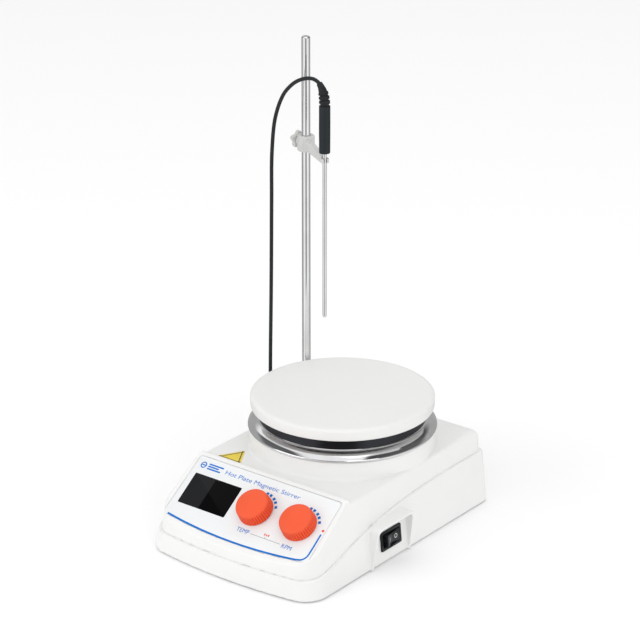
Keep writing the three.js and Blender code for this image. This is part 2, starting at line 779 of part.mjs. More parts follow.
function magnetCarrier() {
  const bar = box([-29, PLATE_Y - 8, 69.2], [29, PLATE_Y + 8, 73]);
  const hub = cylinder(0, PLATE_Y, 5, 69.2, 75.5, 24);
  return cut(join(bar, hub), cylinder(0, PLATE_Y, 2.3, 60, 74, 16));
}

place('motor_bracket', motorBracket(), zincSteel);
place('motor_body', motorBody(), zincSteel);
place('motor_shaft', cylinder(0, PLATE_Y, 2, 36.5, 73.5, 16), brushedSteel);
place('magnet_carrier', magnetCarrier(), aluminium);
[-20, 20].forEach((x, i) => {
  const magnet = cylinder(x, PLATE_Y, 7, 73.3, 76.3, 24);
  place(`magnet_${i + 1}`, magnet, zincSteel);
});

// Support rod and its brass insert

function supportRod() {
  const chamfer = 0.8;
  const profile = [
    [0, 33], [ROD_R, 33], [ROD_R, ROD_TOP_Z - chamfer], [ROD_R - chamfer, ROD_TOP_Z], [0, ROD_TOP_Z],
  ];
  return turned(profile, ROD_X, ROD_Y, 20);
}

function rodInsert() {
  const sleeve = cylinder(ROD_X, ROD_Y, 4.3, 30, 44, 24);
  return cut(sleeve, cylinder(ROD_X, ROD_Y, ROD_R + 0.3, 32.5, 50, 20));
}

place('support_rod', supportRod(), brushedSteel);
place('rod_insert', rodInsert(), brass);

// Clamp: head on the rod, arm and open clip for the probe. Its frame stands on the rod's axis,
// x along the arm.

function clampMatrix(turn) {
  const matrix = new THREE.Matrix4().makeRotationZ(turn);
  matrix.setPosition(ROD_X, ROD_Y, CLAMP_Z);
  return matrix;
}

function clampBody() {
  const head = turned([[0, -6], [5.6, -6], [6.4, -5.1], [6.4, 5.1], [5.6, 6], [0, 6]], 0, 0, 20);
  const armSide = shapeOf([[0, -4.6], [43.4, -1], [45.2, -0.6], [45.2, 3.9], [43.4, 4.2], [0, 4.4]]);
  const arm = prismY(armSide, -2.2, 2.2);
  const clip = cylinder(ARM_LENGTH, 0, 3.1, 0, 3.6, 20);
  const slot = box([ARM_LENGTH, -1.2, -9], [ARM_LENGTH + 8, 1.2, 9]);
  const bore = cylinder(0, 0, ROD_R + 0.3, -12, 12, 24);
  const probeBore = cylinder(ARM_LENGTH, 0, PROBE_R + 0.3, -9, 9, 16);
  const lobeTurn = new THREE.Matrix4().makeRotationZ(LOBE_TURN - CLAMP_TURN);
  const lobe = moved(cylinderX(0, 1.6, 3.4, 3.6, 8.4, 20), lobeTurn);
  const bossTurn = new THREE.Matrix4().makeRotationZ(SCREW_TURN - CLAMP_TURN);
  const screwBoss = moved(cylinderX(0, 0, 4.2, 3, 7.6, 20), bossTurn);
  const screwBore = moved(cylinderX(0, 0, 2.2, 2, 10, 16), bossTurn);
  return cut(join(head, arm, clip, lobe, screwBoss), bore, probeBore, slot, screwBore);
}

// lobed hand screw along its own x axis
function thumbscrew() {
  const lobes = 5;
  const shape = new THREE.Shape();
  const steps = 8 * lobes;
  for (let i = 0; i <= steps; i += 1) {
    const angle = (2 * Math.PI * i) / steps;
    const radius = 5.7 + 0.9 * Math.cos(lobes * angle);
    const point = [radius * Math.sin(angle), radius * Math.cos(angle)];
    if (i === 0) {
      shape.moveTo(...point);
    } else if (i < steps) {
      shape.lineTo(...point);
    }
  }
  return join(prismX(shape, 8.1, 12.7), cylinderX(0, 0, 1.9, 3.8, 9, 16));
}

place('clamp_body', clampBody(), greyPlastic, frameGroup(clampMatrix(CLAMP_TURN)));
place('thumbscrew', thumbscrew(), greyPlastic, frameGroup(clampMatrix(SCREW_TURN)));

// Temperature probe

function probeTube() {
  const tip = PROBE_TIP_Z;
  const profile = [[0, tip], [0.9, tip + 0.3], [PROBE_R, tip + 1.4], [PROBE_R, 284.5], [0, 284.5]];
  return turned(profile, PROBE_X, PROBE_Y, 16);
}

function probeHandle() {
  const profile = [
    [0, HANDLE_BOTTOM_Z], [HANDLE_R - 0.7, HANDLE_BOTTOM_Z], [HANDLE_R, HANDLE_BOTTOM_Z + 0.7],
    [HANDLE_R, HANDLE_TOP_Z - 0.4], [HANDLE_R - 0.4, HANDLE_TOP_Z], [0, HANDLE_TOP_Z],
  ];
  const bore = cylinder(PROBE_X, PROBE_Y, PROBE_R + 0.3, 260, 285, 16);
  return cut(turned(profile, PROBE_X, PROBE_Y, 24), bore);
}

const bootCurve = new THREE.QuadraticBezierCurve3(
  new THREE.Vector3(PROBE_X, PROBE_Y, HANDLE_TOP_Z + 0.3),
  new THREE.Vector3(PROBE_X, PROBE_Y, 317),
  new THREE.Vector3(-29.6, 38.1, 321.9),
);

// short disc across the boot's bent axis
function bootDisc(at, radius, length) {
  const geometry = new THREE.CylinderGeometry(radius, radius, length, 12);
  const up = new THREE.Vector3(0, 1, 0);
  const turn = new THREE.Quaternion().setFromUnitVectors(up, bootCurve.getTangentAt(at));
  geometry.applyQuaternion(turn);
  const middle = bootCurve.getPointAt(at);
  geometry.translate(middle.x, middle.y, middle.z);
  return solid(geometry);
}

function circleShape(radius, sides) {
  const corners = [];
  for (let i = 0; i < sides; i += 1) {
    const angle = (2 * Math.PI * i) / sides;
    corners.push([radius * Math.cos(angle), radius * Math.sin(angle)]);
  }
  return shapeOf(corners);
}

function tube(curve, radius, sides, steps) {
  const geometry = new THREE.ExtrudeGeometry(circleShape(radius, sides), { extrudePath: curve, steps });
  return solid(geometry);
}

// ribbed strain relief that bends over with the lead
function probeBoot() {
  const ribs = [0.14, 0.34, 0.52].map((at, i) => bootDisc(at, 3.8 - 0.25 * i, 1.5));
  return join(tube(bootCurve, 2.7, 12, 5), ...ribs);
}

place('probe_tube', probeTube(), brushedSteel);
place('probe_handle', probeHandle(), darkPlastic);
place('probe_boot', probeBoot(), blackRubber);

// Sensor lead: over the rod, down beside the body, along the table and round to the coil,
// then up to the plug in the rear socket

const hangCurve = new THREE.CatmullRomCurve3([
  new THREE.Vector3(-30.5, 38.3, 322.5),
  new THREE.Vector3(-33.2, 38.7, 323.5),
  new THREE.Vector3(-36.6, 39.3, 323.8),
  new THREE.Vector3(-42.8, 40.5, 322.8),
  new THREE.Vector3(-52.6, 42.4, 318.6),
  new THREE.Vector3(-61.2, 44, 312.2),
  new THREE.Vector3(-68.7, 45.4, 303.6),
  new THREE.Vector3(-77, 47, 285),
  new THREE.Vector3(-80.8, 47.7, 258),
  new THREE.Vector3(-81.6, 47.9, 221),
  new THREE.Vector3(-82.7, 48.1, 156),
  new THREE.Vector3(-84.4, 48.4, 83),
  new THREE.Vector3(-85.4, 49.5, 35),
  new THREE.Vector3(-86, 55, 13),
  new THREE.Vector3(-86.5, 68, 3.4),
  new THREE.Vector3(-86.5, 84, 1.8),
  new THREE.Vector3(-84, 100, 1.8),
  new THREE.Vector3(-76, 112, 1.8),
  new THREE.Vector3(-62, 117.6, 1.8),
  new THREE.Vector3(-42, 118, 1.8),
  new THREE.Vector3(-27.5, 118.3, 1.8),
]);

const tailCurve = new THREE.CatmullRomCurve3([
  new THREE.Vector3(-19.8, 152.9, 5.1),
  new THREE.Vector3(-27, 154.6, 7.2),
  new THREE.Vector3(-33.6, 153.4, 11.4),
  new THREE.Vector3(-36.4, 148, 16.6),
  new THREE.Vector3(-35.2, 141, 20.3),
  new THREE.Vector3(-34, 134.4, 21.5),
]);

function lead(curve) {
  return tube(curve, LEAD_R, 8, Math.round(curve.getLength() / LEAD_STEP));
}

// outer shape of the coiled turns
function coilRing() {
  const profile = [];
  for (let i = 0; i <= 10; i += 1) {
    const angle = (2 * Math.PI * (i % 10)) / 10;
    profile.push([
      COIL_MEAN_R + COIL_HALF_WIDTH * Math.cos(angle),
      COIL_HALF_HEIGHT + 0.3 + COIL_HALF_HEIGHT * Math.sin(angle),
    ]);
  }
  return turned(profile, COIL_X, COIL_Y, 24);
}

function sensorPlug() {
  const pin = cylinderY(SOCKET_X, CONNECTOR_Z, 4.3, 100, 112);
  const sleeve = cylinderY(SOCKET_X, CONNECTOR_Z, 6.4, REAR_FIELD_Y + 2.1, 124);
  const relief = cylinderY(SOCKET_X, CONNECTOR_Z, 3, 123, 134, 16);
  return join(pin, sleeve, relief);
}

place('sensor_lead_hang', lead(hangCurve), blackRubber);
place('sensor_lead_coil', coilRing(), blackRubber);
place('sensor_lead_tail', lead(tailCurve), blackRubber);
place('sensor_plug', sensorPlug(), zincSteel);

export default stirrer;
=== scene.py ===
"""Looks of the hot-plate magnetic stirrer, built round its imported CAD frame."""

import functools
import math

import bmesh
import bpy
import numpy as np
from mathutils import Matrix, Vector


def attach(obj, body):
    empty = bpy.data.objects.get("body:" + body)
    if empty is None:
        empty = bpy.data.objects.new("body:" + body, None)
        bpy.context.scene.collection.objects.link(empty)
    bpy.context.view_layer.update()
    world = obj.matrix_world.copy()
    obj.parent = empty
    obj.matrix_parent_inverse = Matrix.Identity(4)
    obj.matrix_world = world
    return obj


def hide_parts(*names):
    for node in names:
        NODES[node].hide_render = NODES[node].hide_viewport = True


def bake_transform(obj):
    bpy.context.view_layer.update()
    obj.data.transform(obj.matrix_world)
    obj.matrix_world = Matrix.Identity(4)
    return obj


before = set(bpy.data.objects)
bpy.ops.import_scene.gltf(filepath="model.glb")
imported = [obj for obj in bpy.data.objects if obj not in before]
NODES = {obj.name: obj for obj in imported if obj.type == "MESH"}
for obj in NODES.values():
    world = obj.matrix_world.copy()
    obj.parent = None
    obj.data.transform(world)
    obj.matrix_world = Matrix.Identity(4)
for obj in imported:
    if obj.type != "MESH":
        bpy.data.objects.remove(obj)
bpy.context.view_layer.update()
MM = 0.001

# Driving dimensions, in millimetres, as in the CAD source

HALF_WIDTH, REAR_Y = 75.1, 110.6
CROWN_R, CROWN_Y = 400.0, 289.0
FRONT_CORNER_R, REAR_CORNER_R = 15.0, 6.0
DRAFT, REAR_DRAFT, BASE_Z, LEDGE_STEP = 0.097, 0.03, 1.0, 1.8
LOWER_WALL, UPPER_WALL, PANEL_WALL = 3.0, 2.6, 3.4
SPLIT_LAP = 0.3
PANEL_Y, PANEL_Z = -99.5, 28.1
CREST_Y, CREST_Z, CREST_BACK_Y = -54.7, 59.8, -51.4
SLOPE = math.atan2(CREST_Z - PANEL_Z, CREST_Y - PANEL_Y)
DECK_Z = 57.0
PLATE_Y, DRUM_R, DRUM_TOP, DRUM_HOLE_R = 27.5, 67.5, 71.0, 32.0
PLATE_TOP, PLATE_BOTTOM, NECK_TOP = 96.0, 87.1, 86.8
KNOB_X, KNOB_Y, KNOB_R = (4.4, 43.4), 26.0, 13.1
DISPLAY_X, DISPLAY_Y, DISPLAY_W, DISPLAY_H = -38.1, 25.4, 43.0, 26.0
SWITCH_Y, SWITCH_Z = -12.5, 17.0
HOOD_Y, HOOD_TOP, HOOD_FOOT, HOOD_LEAN = -14.2, 33.0, 23.3, 1.5 / 33
FIELD_Y, INLET_X, SOCKET_X, CONNECTOR_Z = 106.5, 28.0, -34.0, 21.5
ROD_X, ROD_Y, ROD_R, ROD_TOP = -62.8, 64.9, 3.2, 344.7
CLAMP_Z, ARM = 264.5, 47.8
CLAMP_TURN, SCREW_TURN, LOBE_TURN = (math.radians(turn) for turn in (-35.7, 160, 105))
PROBE_X, PROBE_Y, PROBE_R, PROBE_TIP = -24.0, 37.0, 1.5, 145.8
HANDLE_R, HANDLE_BOTTOM, HANDLE_TOP = 4.1, 272.0, 307.0
LEAD_R, LEAD_Z = 1.4, 1.8
FEET = [(-56, -84), (56, -84), (56, 96), (-56, 96)]
SCREWS = [(-62, -60), (62, -60), (62, 84), (-62, 84)]
OVERLAY_LOW_HALF, OVERLAY_TOP_HALF, OVERLAY_TOP, OVERLAY_TAPER = 65.4, 64.2, 52.5, 0.0233
OVERLAY_BOW_R, OVERLAY_BOW_LOW = 426.0, -3.3
PRINT_LOW, PRINT_HIGH, LETTER_HEIGHT = -0.27, -0.21, 3.5
TOP_EDGE_R, ROD_BOSS_R, ROD_BOSS_TOP = 1.8, 6.5, 59.5
KNOB_HOLE_R, SOCKET_R = 4.2, 6.5
BOSS_R, BOSS_TOP, SCREW_HOLE_R, SCREW_HEAD_R = 4.5, 11.5, 1.8, 3.5
FOOT_POCKET_R, FOOT_POCKET_TOP = 8.4, 2.5
HOOD_RIM_X, HOOD_RIM_SLOPE, HOOD_RIM_LENGTH = 76.6, 0.1353, 1.0091
WINDOW_HALF, SWITCH_HALF = (19.5, 11.0), (10.9, 6.4)
INLET_HALF, FIELD_HALF = (13.8, 14.3), (46.0, 16.5)


# Frames

def panel_frame():
    return Matrix.Translation((0, PANEL_Y, PANEL_Z)) @ Matrix.Rotation(SLOPE, 4, "X")


def switch_frame():
    """Right wall: x to the rear, y up the wall, z out of it."""
    lean = math.atan(DRAFT)
    columns = ((0, 1, 0), (-math.sin(lean), 0, math.cos(lean)), (math.cos(lean), 0, math.sin(lean)))
    turn = Matrix(columns).transposed().to_4x4()
    return Matrix.Translation((HALF_WIDTH - DRAFT * SWITCH_Z, SWITCH_Y, SWITCH_Z)) @ turn


def clamp_frame(turn):
    return Matrix.Translation((ROD_X, ROD_Y, CLAMP_Z)) @ Matrix.Rotation(turn, 4, "Z")


def put(name, data):
    """A new object in the scene."""
    made = bpy.data.objects.new(name, data)
    bpy.context.scene.collection.objects.link(made)
    return made


# Camera, in metres

CAMERA_AT, CAMERA_AIM = (1.07556, -1.38272, 0.87497), (-0.03935, 0.05135, 0.13531)
LENS, SENSOR = 149.65, 36


def make_camera():
    data = bpy.data.cameras.new("camera")
    data.lens, data.sensor_width = LENS, SENSOR
    data.clip_start, data.clip_end = 0.05, 50
    camera = put("camera", data)
    camera.location = CAMERA_AT
    aim = Vector(CAMERA_AIM) - camera.location
    camera.rotation_euler = aim.to_track_quat("-Z", "Y").to_euler()
    bpy.context.scene.camera = camera


make_camera()

# Materials


def shader(name, color, roughness, metallic=0.0, **inputs):
    """A material with one Principled shader; inputs are further sockets of it, with _ for a space."""
    made = bpy.data.materials.new(name)
    made.use_nodes = True
    principled = made.node_tree.nodes["Principled BSDF"]
    principled.inputs["Base Color"].default_value = (*color, 1)
    principled.inputs["Roughness"].default_value = roughness
    principled.inputs["Metallic"].default_value = metallic
    for key, value in inputs.items():
        principled.inputs[key.replace("_", " ")].default_value = value
    return made


def principled_of(made):
    return made.node_tree.nodes["Principled BSDF"]


def link(made, source, target):
    made.node_tree.links.new(source, target)


def node(made, kind, **values):
    new = made.node_tree.nodes.new(kind)
    for key, value in values.items():
        new.inputs[key].default_value = value
    return new


def noise_of(made, scale, stretch=(1, 1, 1), detail=3.0, roughness=0.55):
    """Noise in the row frame, scale in cells per metre, squeezed along each axis by stretch."""
    place = node(made, "ShaderNodeTexCoord")
    squeeze = node(made, "ShaderNodeMapping", Scale=stretch)
    noise = node(made, "ShaderNodeTexNoise", Scale=scale, Detail=detail, Roughness=roughness)
    link(made, place.outputs["Object"], squeeze.inputs["Vector"])
    link(made, squeeze.outputs["Vector"], noise.inputs["Vector"])
    return noise.outputs["Fac"]


def span(made, value, low, high, from_low=0.3, from_high=0.7):
    """value, mostly between from_low and from_high, spread over low to high."""
    spread = node(made, "ShaderNodeMapRange")
    for key, number in zip(("From Min", "From Max", "To Min", "To Max"), (from_low, from_high, low, high)):
        spread.inputs[key].default_value = number
    link(made, value, spread.inputs["Value"])
    return spread.outputs["Result"]


def tint(made, value, first, second, from_low=0.3, from_high=0.7):
    """Base colour that runs from first to second as value goes from from_low to from_high."""
    mix = made.node_tree.nodes.new("ShaderNodeMix")
    mix.data_type = "RGBA"
    mix.inputs["A"].default_value = (*first, 1)
    mix.inputs["B"].default_value = (*second, 1)
    link(made, span(made, value, 0, 1, from_low, from_high), mix.inputs["Factor"])
    link(made, mix.outputs["Result"], principled_of(made).inputs["Base Color"])


def vary_roughness(made, value, low, high):
    link(made, span(made, value, low, high), principled_of(made).inputs["Roughness"])


def relief(made, *layers):
    """Bump layers of (height socket, distance in metres), one on the other."""
    last = None
    for height, distance in layers:
        bump = node(made, "ShaderNodeBump", Distance=distance, Strength=1.0)
        link(made, height, bump.inputs["Height"])
        if last:
            link(made, last, bump.inputs["Normal"])
        last = bump.outputs["Normal"]
    link(made, last, principled_of(made).inputs["Normal"])


def rgb(code):
    """Linear colour of an sRGB hex code."""
    parts = [int(code[i:i + 2], 16) / 255 for i in (0, 2, 4)]
    return tuple(p / 12.92 if p <= 0.04045 else ((p + 0.055) / 1.055) ** 2.4 for p in parts)


def shade(color, factor):
    return tuple(min(1.0, c * factor) for c in color)


def moulded(name, color, roughness, grain, mottle, specular=0.5):
    """Moulded plastic: faint flow mottling, a fine sparked grain, uneven gloss and handling marks."""
    made = shader(name, color, roughness, Specular_IOR_Level=specular)
    tint(made, noise_of(made, 55, detail=5.0), shade(color, 1 - mottle), shade(color, 1 + mottle / 3))
    vary_roughness(made, noise_of(made, 130, detail=6.0), roughness * 0.86, roughness * 1.16)
    relief(made, (noise_of(made, 2600, detail=2.0), grain), (noise_of(made, 38, detail=1.0), 1.2e-4))
    return made


def metal(name, color, roughness, stretch, scale=900.0, depth=4e-6):
    """Metal with fine marks drawn out along the axes where stretch is small."""
    made = shader(name, color, roughness, 1.0)
    lines = noise_of(made, scale, stretch, detail=4.0)
    tint(made, noise_of(made, 60, detail=5.0), shade(color, 0.93), shade(color, 1.03))
    vary_roughness(made, lines, roughness * 0.75, roughness * 1.3)
    relief(made, (lines, depth))
    return made


def turned_metal(name, color, roughness):
    """Spun metal: fine rings round the plate's axis."""
    made = shader(name, color, roughness, 1.0)
    place = node(made, "ShaderNodeTexCoord")
    shift = node(made, "ShaderNodeMapping", Location=(0, -PLATE_Y * MM, 0))
    wave = node(made, "ShaderNodeTexWave", Scale=130.0, Distortion=1.4, Detail=2.0)
    wave.wave_type, wave.rings_direction = "RINGS", "Z"
    link(made, place.outputs["Object"], shift.inputs["Vector"])
    link(made, shift.outputs["Vector"], wave.inputs["Vector"])
    tint(made, noise_of(made, 45, detail=5.0), shade(color, 0.9), shade(color, 1.04))
    vary_roughness(made, noise_of(made, 140, detail=5.0), roughness * 0.7, roughness * 1.35)
    relief(made, (wave.outputs["Fac"], 1.5e-6))
    return made


# Colour, roughness, depth of the grain in metres, mottle, specular level
MOULDED = {
    "white_plastic": ("ebebea", 0.36, 9e-6, 0.012, 0.4),
    "overlay_film": ("e9ebec", 0.34, 4e-6, 0.01),
    "orange_plastic": ("ee5c36", 0.46, 1.2e-5, 0.05, 0.25),
    "grey_plastic": ("cdcdcb", 0.5, 1.2e-5, 0.04, 0.3),
    "dark_plastic": ("2a3035", 0.42, 1.4e-5, 0.12),
    "handle_plastic": ("23292d", 0.5, 2e-5, 0.1, 0.22),
    "switch_plastic": ("181b1e", 0.4, 1e-5, 0.1, 0.25),
    "yellow_label": ("ecd23a", 0.35, 3e-6, 0.05),
    "blue_ink": ("0472cc", 0.4, 3e-6, 0.05, 0.15),
    "red_ink": ("e8432e", 0.36, 3e-6, 0.06),
    "grey_ink": ("8f9499", 0.4, 3e-6, 0.06),
    "dark_ink": ("4b431c", 0.4, 3e-6, 0.06),
    "white_ink": ("d8dcdd", 0.4, 3e-6, 0.04),
}
# Colour, roughness, stretch of its marks, their scale and depth
METALS = {
    "brushed_steel": ((0.76, 0.76, 0.77), 0.12, (1, 1, 0.03), 900.0, 2e-6),
    "zinc_steel": ((0.62, 0.64, 0.66), 0.36, (1, 1, 1), 420.0, 1e-5),
    "plug_metal": ((0.66, 0.67, 0.69), 0.27, (1, 0.05, 1)),
    "aluminium": ((0.72, 0.73, 0.75), 0.35, (1, 0.05, 1)),
    "brass": ((0.79, 0.6, 0.28), 0.3, (0.2, 0.2, 1)),
}


def black_glass(name):
    """Smoked window: its left part is painted a shade lighter than the right, a painted reflection."""
    made = shader(name, (0.004, 0.004, 0.005), 0.06, Specular_IOR_Level=0.04)
    place = node(made, "ShaderNodeTexCoord")
    parts = node(made, "ShaderNodeSeparateXYZ")
    link(made, place.outputs["Object"], parts.inputs["Vector"])
    edge, soft = (DISPLAY_X - 2.4) * MM, 3e-4
    # painted reflection: the window's left part gets a lighter black than its right part
    tint(made, parts.outputs["X"], (0.018, 0.0185, 0.02), (0.0035, 0.0035, 0.004), edge - soft, edge + soft)
    vary_roughness(made, noise_of(made, 90, detail=6.0), 0.04, 0.09)
    return made


def rubber(name):
    color = rgb("1f2326")
    made = shader(name, color, 0.5, Sheen_Weight=0.04, Sheen_Roughness=0.5, Specular_IOR_Level=0.25)
    tint(made, noise_of(made, 160, detail=6.0), shade(color, 0.82), shade(color, 1.16))
    vary_roughness(made, noise_of(made, 260, detail=5.0), 0.42, 0.62)
    relief(made, (noise_of(made, 3200, detail=2.0), 2.2e-5), (noise_of(made, 240, detail=3.0), 5e-5))
    return made


def coating(name):
    """Glazed ceramic coating: slight orange peel, pin speckle and faint heat toning."""
    color = rgb("e8e8e6")
    made = shader(name, color, 0.34, Specular_IOR_Level=0.4)
    tint(made, noise_of(made, 24, detail=7.0, roughness=0.7), shade(color, 0.985), color)
    vary_roughness(made, noise_of(made, 90, detail=6.0), 0.3, 0.4)
    relief(made, (noise_of(made, 520, detail=2.0), 5e-6), (noise_of(made, 3000, detail=1.0), 3e-6))
    return made


def circuit(name):
    made = shader(name, (0.03, 0.16, 0.07), 0.45)
    tracks = noise_of(made, 420, (1, 0.1, 1), detail=1.0)
    tint(made, tracks, (0.02, 0.12, 0.05), (0.05, 0.24, 0.1), 0.48, 0.52)
    vary_roughness(made, noise_of(made, 300), 0.35, 0.55)
    return made


def windings(name):
    made = shader(name, (0.62, 0.27, 0.11), 0.35, 0.7)
    lines = noise_of(made, 900, (0.05, 0.05, 1), detail=1.0)
    tint(made, lines, (0.45, 0.17, 0.06), (0.7, 0.33, 0.14))
    relief(made, (lines, 1e-4))
    return made


def fibre(name):
    made = shader(name, (0.84, 0.82, 0.76), 0.9, Sheen_Weight=0.3)
    strands = noise_of(made, 700, (1, 1, 0.2), detail=6.0)
    tint(made, strands, (0.72, 0.7, 0.62), (0.9, 0.88, 0.83))
    relief(made, (strands, 2e-4))
    return made


def glass(name):
    made = shader(name, (0.9, 0.94, 0.95), 0.05, IOR=1.5, Transmission_Weight=0.9)
    vary_roughness(made, noise_of(made, 200), 0.03, 0.09)
    return made


OTHERS = {
    "black_gloss": black_glass, "black_rubber": rubber, "plate_coating": coating, "circuit_board": circuit,
    "copper_coil": windings, "ceramic_fibre": fibre, "clear_glass": glass,
}


def make_materials():
    looks = {name: moulded(name, rgb(code), *rest) for name, (code, *rest) in MOULDED.items()}
    looks["mica"] = moulded("mica", (0.5, 0.4, 0.24), 0.6, 4e-5, 0.2)
    looks.update({name: metal(name, *values) for name, values in METALS.items()})
    looks["polished_steel"] = turned_metal("polished_steel", (0.82, 0.82, 0.83), 0.1)
    # near-black steel for the skirt's neck: a painted dark reflection on polished steel
    looks["neck_steel_painted_dark"] = turned_metal("neck_steel_painted_dark", (0.035, 0.036, 0.04), 0.16)
    looks.update({name: make(name) for name, make in OTHERS.items()})
    return looks


LOOKS = make_materials()


# Pieces

def add(name, mesh, look, body, replaces=(), extra=()):
    """Puts a mesh in the scene, in metres, dresses it and makes it ride on a body."""
    made = put(name, mesh)
    mesh.materials.clear()
    for key in (look, *extra):
        mesh.materials.append(LOOKS[key])
    if body:
        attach(made, body)
    if replaces:
        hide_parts(*replaces)
    return made


def mesh_of(name, points, faces, matrix=None, sharp=35.0):
    """Mesh from points in millimetres, turned by matrix, smooth but for edges sharper than sharp."""
    mesh = bpy.data.meshes.new(name)
    mesh.from_pydata([tuple(p) for p in points], [], faces)
    if matrix is not None:
        mesh.transform(matrix)
    mesh.transform(Matrix.Scale(MM, 4))
    mesh.validate()
    work = bmesh.new()
    work.from_mesh(mesh)
    bmesh.ops.remove_doubles(work, verts=work.verts, dist=1e-7)
    bmesh.ops.recalc_face_normals(work, faces=work.faces)
    work.to_mesh(mesh)
    work.free()
    mesh.shade_smooth()
    mesh.set_sharp_from_angle(angle=math.radians(sharp))
    return mesh


def rounded(profile, radius, steps=4, closed=False):
    """Profile of 2D points with each inner corner rounded by radius, or by its own third value."""
    made = []
    count = len(profile)
    for i, point in enumerate(profile):
        if not closed and i in (0, count - 1):
            made.append(point[:2])
            continue
        here = Vector(point[:2])
        before, after = Vector(profile[i - 1][:2]), Vector(profile[(i + 1) % count][:2])
        reach = point[2] if len(point) > 2 else radius
        reach = min(reach, (before - here).length * 0.48, (after - here).length * 0.48)
        start = here + (before - here).normalized() * reach
        end = here + (after - here).normalized() * reach
        for k in range(steps + 1):
            t = k / steps
            made.append(tuple(start * (1 - t) ** 2 + here * (2 * t * (1 - t)) + end * t * t))
    return made


def loft(name, rings, matrix=None, sharp=35.0, loop=False, capped=True):
    """Mesh through rings of equally many points; its ends are closed, or loop joins the last to the first."""
    count = len(rings[0])
    faces = []
    for k in range(len(rings) if loop else len(rings) - 1):
        low, high = k * count, (k + 1) % len(rings) * count
        for i in range(count):
            j = (i + 1) % count
            faces.append((low + i, low + j, high + j, high + i))
    if capped and not loop:
        faces.append(tuple(range(count - 1, -1, -1)))
        faces.append(tuple(range((len(rings) - 1) * count, len(rings) * count)))
    return mesh_of(name, [point for ring in rings for point in ring], faces, matrix, sharp)


def angles_of(segments):
    return [2 * math.pi * i / segments for i in range(segments)]


def lathe(name, profile, x, y, segments=128, matrix=None, closed=False, sharp=35.0):
    """Profile of (radius, height) turned about the vertical axis at x, y."""
    rings = [[(x + r * math.cos(a), y + r * math.sin(a), z) for a in angles_of(segments)] for r, z in profile]
    return loft(name, rings, matrix, sharp, closed, False)


def hoop(middle, way, side, radius, segments):
    """Circle round middle, square to way, from side on."""
    other = way.cross(side)
    return [middle + (side * math.cos(a) + other * math.sin(a)) * radius for a in angles_of(segments)]


def slab(name, outline, z0, z1, matrix=None, bevel=0.0, steps=2):
    """A flat shape with an outline of (x, y) points, from z0 to z1, its upper edge rounded by bevel."""
    levels = [(z0, 0.0)]
    for k in range(steps + 1 if bevel else 1):
        t = k / steps * math.pi / 2
        levels.append((z1 - bevel * (1 - math.sin(t)), bevel * (1 - math.cos(t))))
    rings = [[(x, y, z) for x, y in inset_outline(outline, inset)] for z, inset in levels]
    return loft(name, rings, matrix, 50.0)


def inset_outline(outline, inset):
    """A counter-clockwise outline moved inwards."""
    if not inset:
        return outline
    made = []
    for i, point in enumerate(outline):
        here = Vector(point)
        before = here - Vector(outline[i - 1])
        after = Vector(outline[(i + 1) % len(outline)]) - here
        way = (before.normalized() + after.normalized()).normalized()
        made.append((here.x - way.y * inset, here.y + way.x * inset))
    return made


def band(name, outline, insets, z0, z1, matrix=None):
    """A closed flat band between two insets of a counter-clockwise outline."""
    outer, inner = (inset_outline(outline, inset) for inset in insets)
    rings = [[(x, y, z) for x, y in ring] for ring, z in ((outer, z0), (inner, z0), (inner, z1), (outer, z1))]
    return loft(name, rings, matrix, loop=True)


def rectangle(x0, y0, x1, y1, radius=1.0, steps=4):
    return rounded([(x0, y0), (x1, y0), (x1, y1), (x0, y1)], radius, steps, closed=True)


def joined(name, meshes):
    """Several meshes as one."""
    work = bmesh.new()
    for part in meshes:
        work.from_mesh(part)
        bpy.data.meshes.remove(part)
    whole = bpy.data.meshes.new(name)
    work.to_mesh(whole)
    work.free()
    return whole


# Implicit surfaces: a field is negative inside the solid, in millimetres

def meet(a, b, r):
    """Intersection of two fields with its edge rounded to radius r."""
    return np.minimum(-r, np.maximum(a, b)) + np.hypot(np.maximum(a + r, 0), np.maximum(b + r, 0))


def blend_in(a, b, r):
    """Union of two fields with a fillet of radius r."""
    return np.maximum(r, np.minimum(a, b)) - np.hypot(np.maximum(r - a, 0), np.maximum(r - b, 0))


def remove(a, b, r):
    """a without b, with the edge of the cut rounded to radius r."""
    return meet(a, -b, r)


def all_of(*fields):
    """Intersection of fields with sharp edges."""
    return functools.reduce(np.maximum, fields)


def without(a, *cuts):
    """a with sharp-edged cuts."""
    return all_of(a, *(-cut for cut in cuts))


def smooth(value, low, high):
    t = np.clip((value - low) / (high - low), 0, 1)
    return t * t * (3 - 2 * t)


def gradient(field, points, reach=0.02):
    made = np.empty_like(points)
    for axis in range(3):
        ahead, behind = points.copy(), points.copy()
        ahead[:, axis] += reach
        behind[:, axis] -= reach
        made[:, axis] = (field(*ahead.T) - field(*behind.T)) / (2 * reach)
    return made


def settle(field, points, rounds=3):
    """Points moved onto the surface of the field."""
    for _ in range(rounds):
        slope = gradient(field, points)
        size = np.maximum((slope ** 2).sum(1), 0.05)
        move = slope * (field(*points.T) / size)[:, None]
        points = points - np.clip(move, -0.6, 0.6)
    return points


